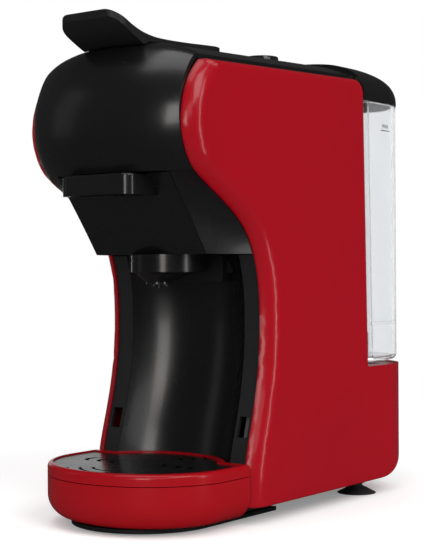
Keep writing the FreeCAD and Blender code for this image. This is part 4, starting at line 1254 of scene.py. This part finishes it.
@dataclass
class Studio:
    """Plain pale floor, soft boxes and the camera."""

    floor_tone: Colour = (0.9, 0.9, 0.9)
    floor_radius: float = 1.6
    fade_from: float = 0.22
    fade_to: float = 0.75
    air_tone: Colour = (1.0, 1.0, 1.0)
    air: float = 1.0
    soft_air: float = 0.6
    mirror_air: float = 0.05
    mirror_floor: float = 0.06
    floor_lift: float = 0.22
    eye: tuple[float, float, float] = (0.4887, -0.6580, 0.1412)
    turn: float = 37.16
    pitch: float = 0.34
    roll: float = 0.36
    lens: float = 89.33
    sensor: float = 36.0
    nearest: float = 0.01

    def build(self) -> None:
        """Set the floor, the air, the lamps and the camera."""
        bpy.context.scene.view_settings.view_transform = "Standard"
        self.floor()
        self.surroundings()
        for lamp in self.lamps():
            lamp.build()
        self.camera()

    def floor(self) -> None:
        """A large pale disc under the machine that fades out into the air around it; glossy rays see it
        with painted shade, much darker than it is lit.
        """
        Bench.clear()
        bpy.ops.mesh.primitive_circle_add(vertices=96, radius=self.floor_radius, fill_type="NGON",
                                          location=(0.0, 0.0, 0.0))
        floor = bpy.context.object
        floor.name = "floor"
        material = bpy.data.materials.new("pale floor")
        material.use_nodes = True
        tree = material.node_tree
        shader = tree.nodes["Principled BSDF"]
        path = tree.nodes.new("ShaderNodeLightPath")
        # Painted shade: for glossy rays the floor's colour drops to a few hundredths, so reflections of the
        # floor on the machine come out darker than the lit floor.
        tree.links.new(tint(tree, path.outputs["Is Glossy Ray"], self.floor_tone,
                            scaled(self.floor_tone, self.mirror_floor)), shader.inputs["Base Color"])
        shader.inputs["Roughness"].default_value = 0.8
        shader.inputs["Specular IOR Level"].default_value = 0.0
        shader.inputs["Emission Color"].default_value = (1.0, 1.0, 1.0, 1.0)
        tree.links.new(ranged(tree, path.outputs["Is Camera Ray"], 0.0, self.floor_lift),
                       shader.inputs["Emission Strength"])
        reach = tree.nodes.new("ShaderNodeVectorMath")
        reach.operation = "LENGTH"
        tree.links.new(object_place(tree), reach.inputs[0])
        fade = tree.nodes.new("ShaderNodeMapRange")
        fade.interpolation_type = "SMOOTHSTEP"
        fade.inputs["From Min"].default_value = self.fade_from
        fade.inputs["From Max"].default_value = self.fade_to
        fade.inputs["To Min"].default_value = 1.0
        fade.inputs["To Max"].default_value = 0.0
        tree.links.new(reach.outputs["Value"], fade.inputs["Value"])
        tree.links.new(fade.outputs["Result"], shader.inputs["Alpha"])
        floor.data.materials.append(material)

    def surroundings(self) -> None:
        """Bright plain surroundings that the gloss sees much darker than the eye does."""
        world = bpy.data.worlds.new("surroundings")
        bpy.context.scene.world = world
        world.use_nodes = True
        tree = world.node_tree
        back = tree.nodes["Background"]
        back.inputs["Color"].default_value = (*self.air_tone, 1.0)
        path = tree.nodes.new("ShaderNodeLightPath")
        lit = ranged(tree, path.outputs["Is Diffuse Ray"], self.air, self.soft_air)
        solid = math_node(tree, "SUBTRACT", 1.0, path.outputs["Is Transmission Ray"])
        mirrored = math_node(tree, "MULTIPLY", path.outputs["Is Glossy Ray"], solid)
        seen = ranged(tree, mirrored, 1.0, self.mirror_air / self.air)
        tree.links.new(math_node(tree, "MULTIPLY", lit, seen), back.inputs["Strength"])

    @staticmethod
    def lamps() -> tuple[SoftBox, ...]:
        """The soft boxes of the studio.

        Returns:
            One entry for each lamp.
        """
        middle = (0.0, 0.0, 0.14)
        return (
            SoftBox("key", (1.5, -0.5, 1.5), middle, (0.9, 1.2), 14.0),
            SoftBox("overhead", (0.0, -0.5, 1.9), middle, (1.2, 1.2), 10.0),
            SoftBox("right strip", (1.6, 0.15, 0.35), middle, (0.2, 1.7), 6.0),
            SoftBox("front box", (0.72, -1.75, 0.42), middle, (0.5, 0.7), 6.0, (1.0, 0.97, 0.94)),
            SoftBox("side box", (1.25, -1.35, 0.8), middle, (0.8, 0.6), 2.2),
            SoftBox("left box", (-1.4, -0.9, 0.6), middle, (0.4, 1.1), 0.3),
            SoftBox("rear card", (-1.35, 1.2, 0.3), middle, (1.3, 0.5), 1.3),
        )

    def camera(self) -> None:
        """Camera low in front, to the right, level with the cup bay."""
        data = bpy.data.cameras.new("camera")
        data.lens = self.lens
        data.sensor_width = self.sensor
        data.clip_start = self.nearest
        camera = bpy.data.objects.new("camera", data)
        bpy.context.scene.collection.objects.link(camera)
        turn, pitch, roll = (math.radians(angle) for angle in (self.turn, self.pitch, self.roll))
        look = Vector((-math.sin(turn) * math.cos(pitch), math.cos(turn) * math.cos(pitch),
                       -math.sin(pitch)))
        level = Vector((math.cos(turn), math.sin(turn), 0.0))
        upright = level.cross(look)
        right = math.cos(roll) * level - math.sin(roll) * upright
        up = math.sin(roll) * level + math.cos(roll) * upright
        axes = Matrix((right, up, -look)).transposed().to_4x4()
        camera.matrix_world = Matrix.Translation(self.eye) @ axes
        bpy.context.scene.camera = camera


def main() -> None:
    """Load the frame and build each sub-assembly in order."""
    logging.basicConfig(level=logging.INFO, format="%(name)s: %(message)s")
    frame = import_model()
    machine = Machine(frame, Finishes())
    for part in (Casing(machine), Press(machine), Drawer(machine), DripTray(machine), Tank(machine),
                 Buttons(machine)):
        part.build()
    Studio().build()
    Bench.clear()
    LOG.info("%d modelled pieces", len(machine.made))


if __name__ == "__main__":
    main()
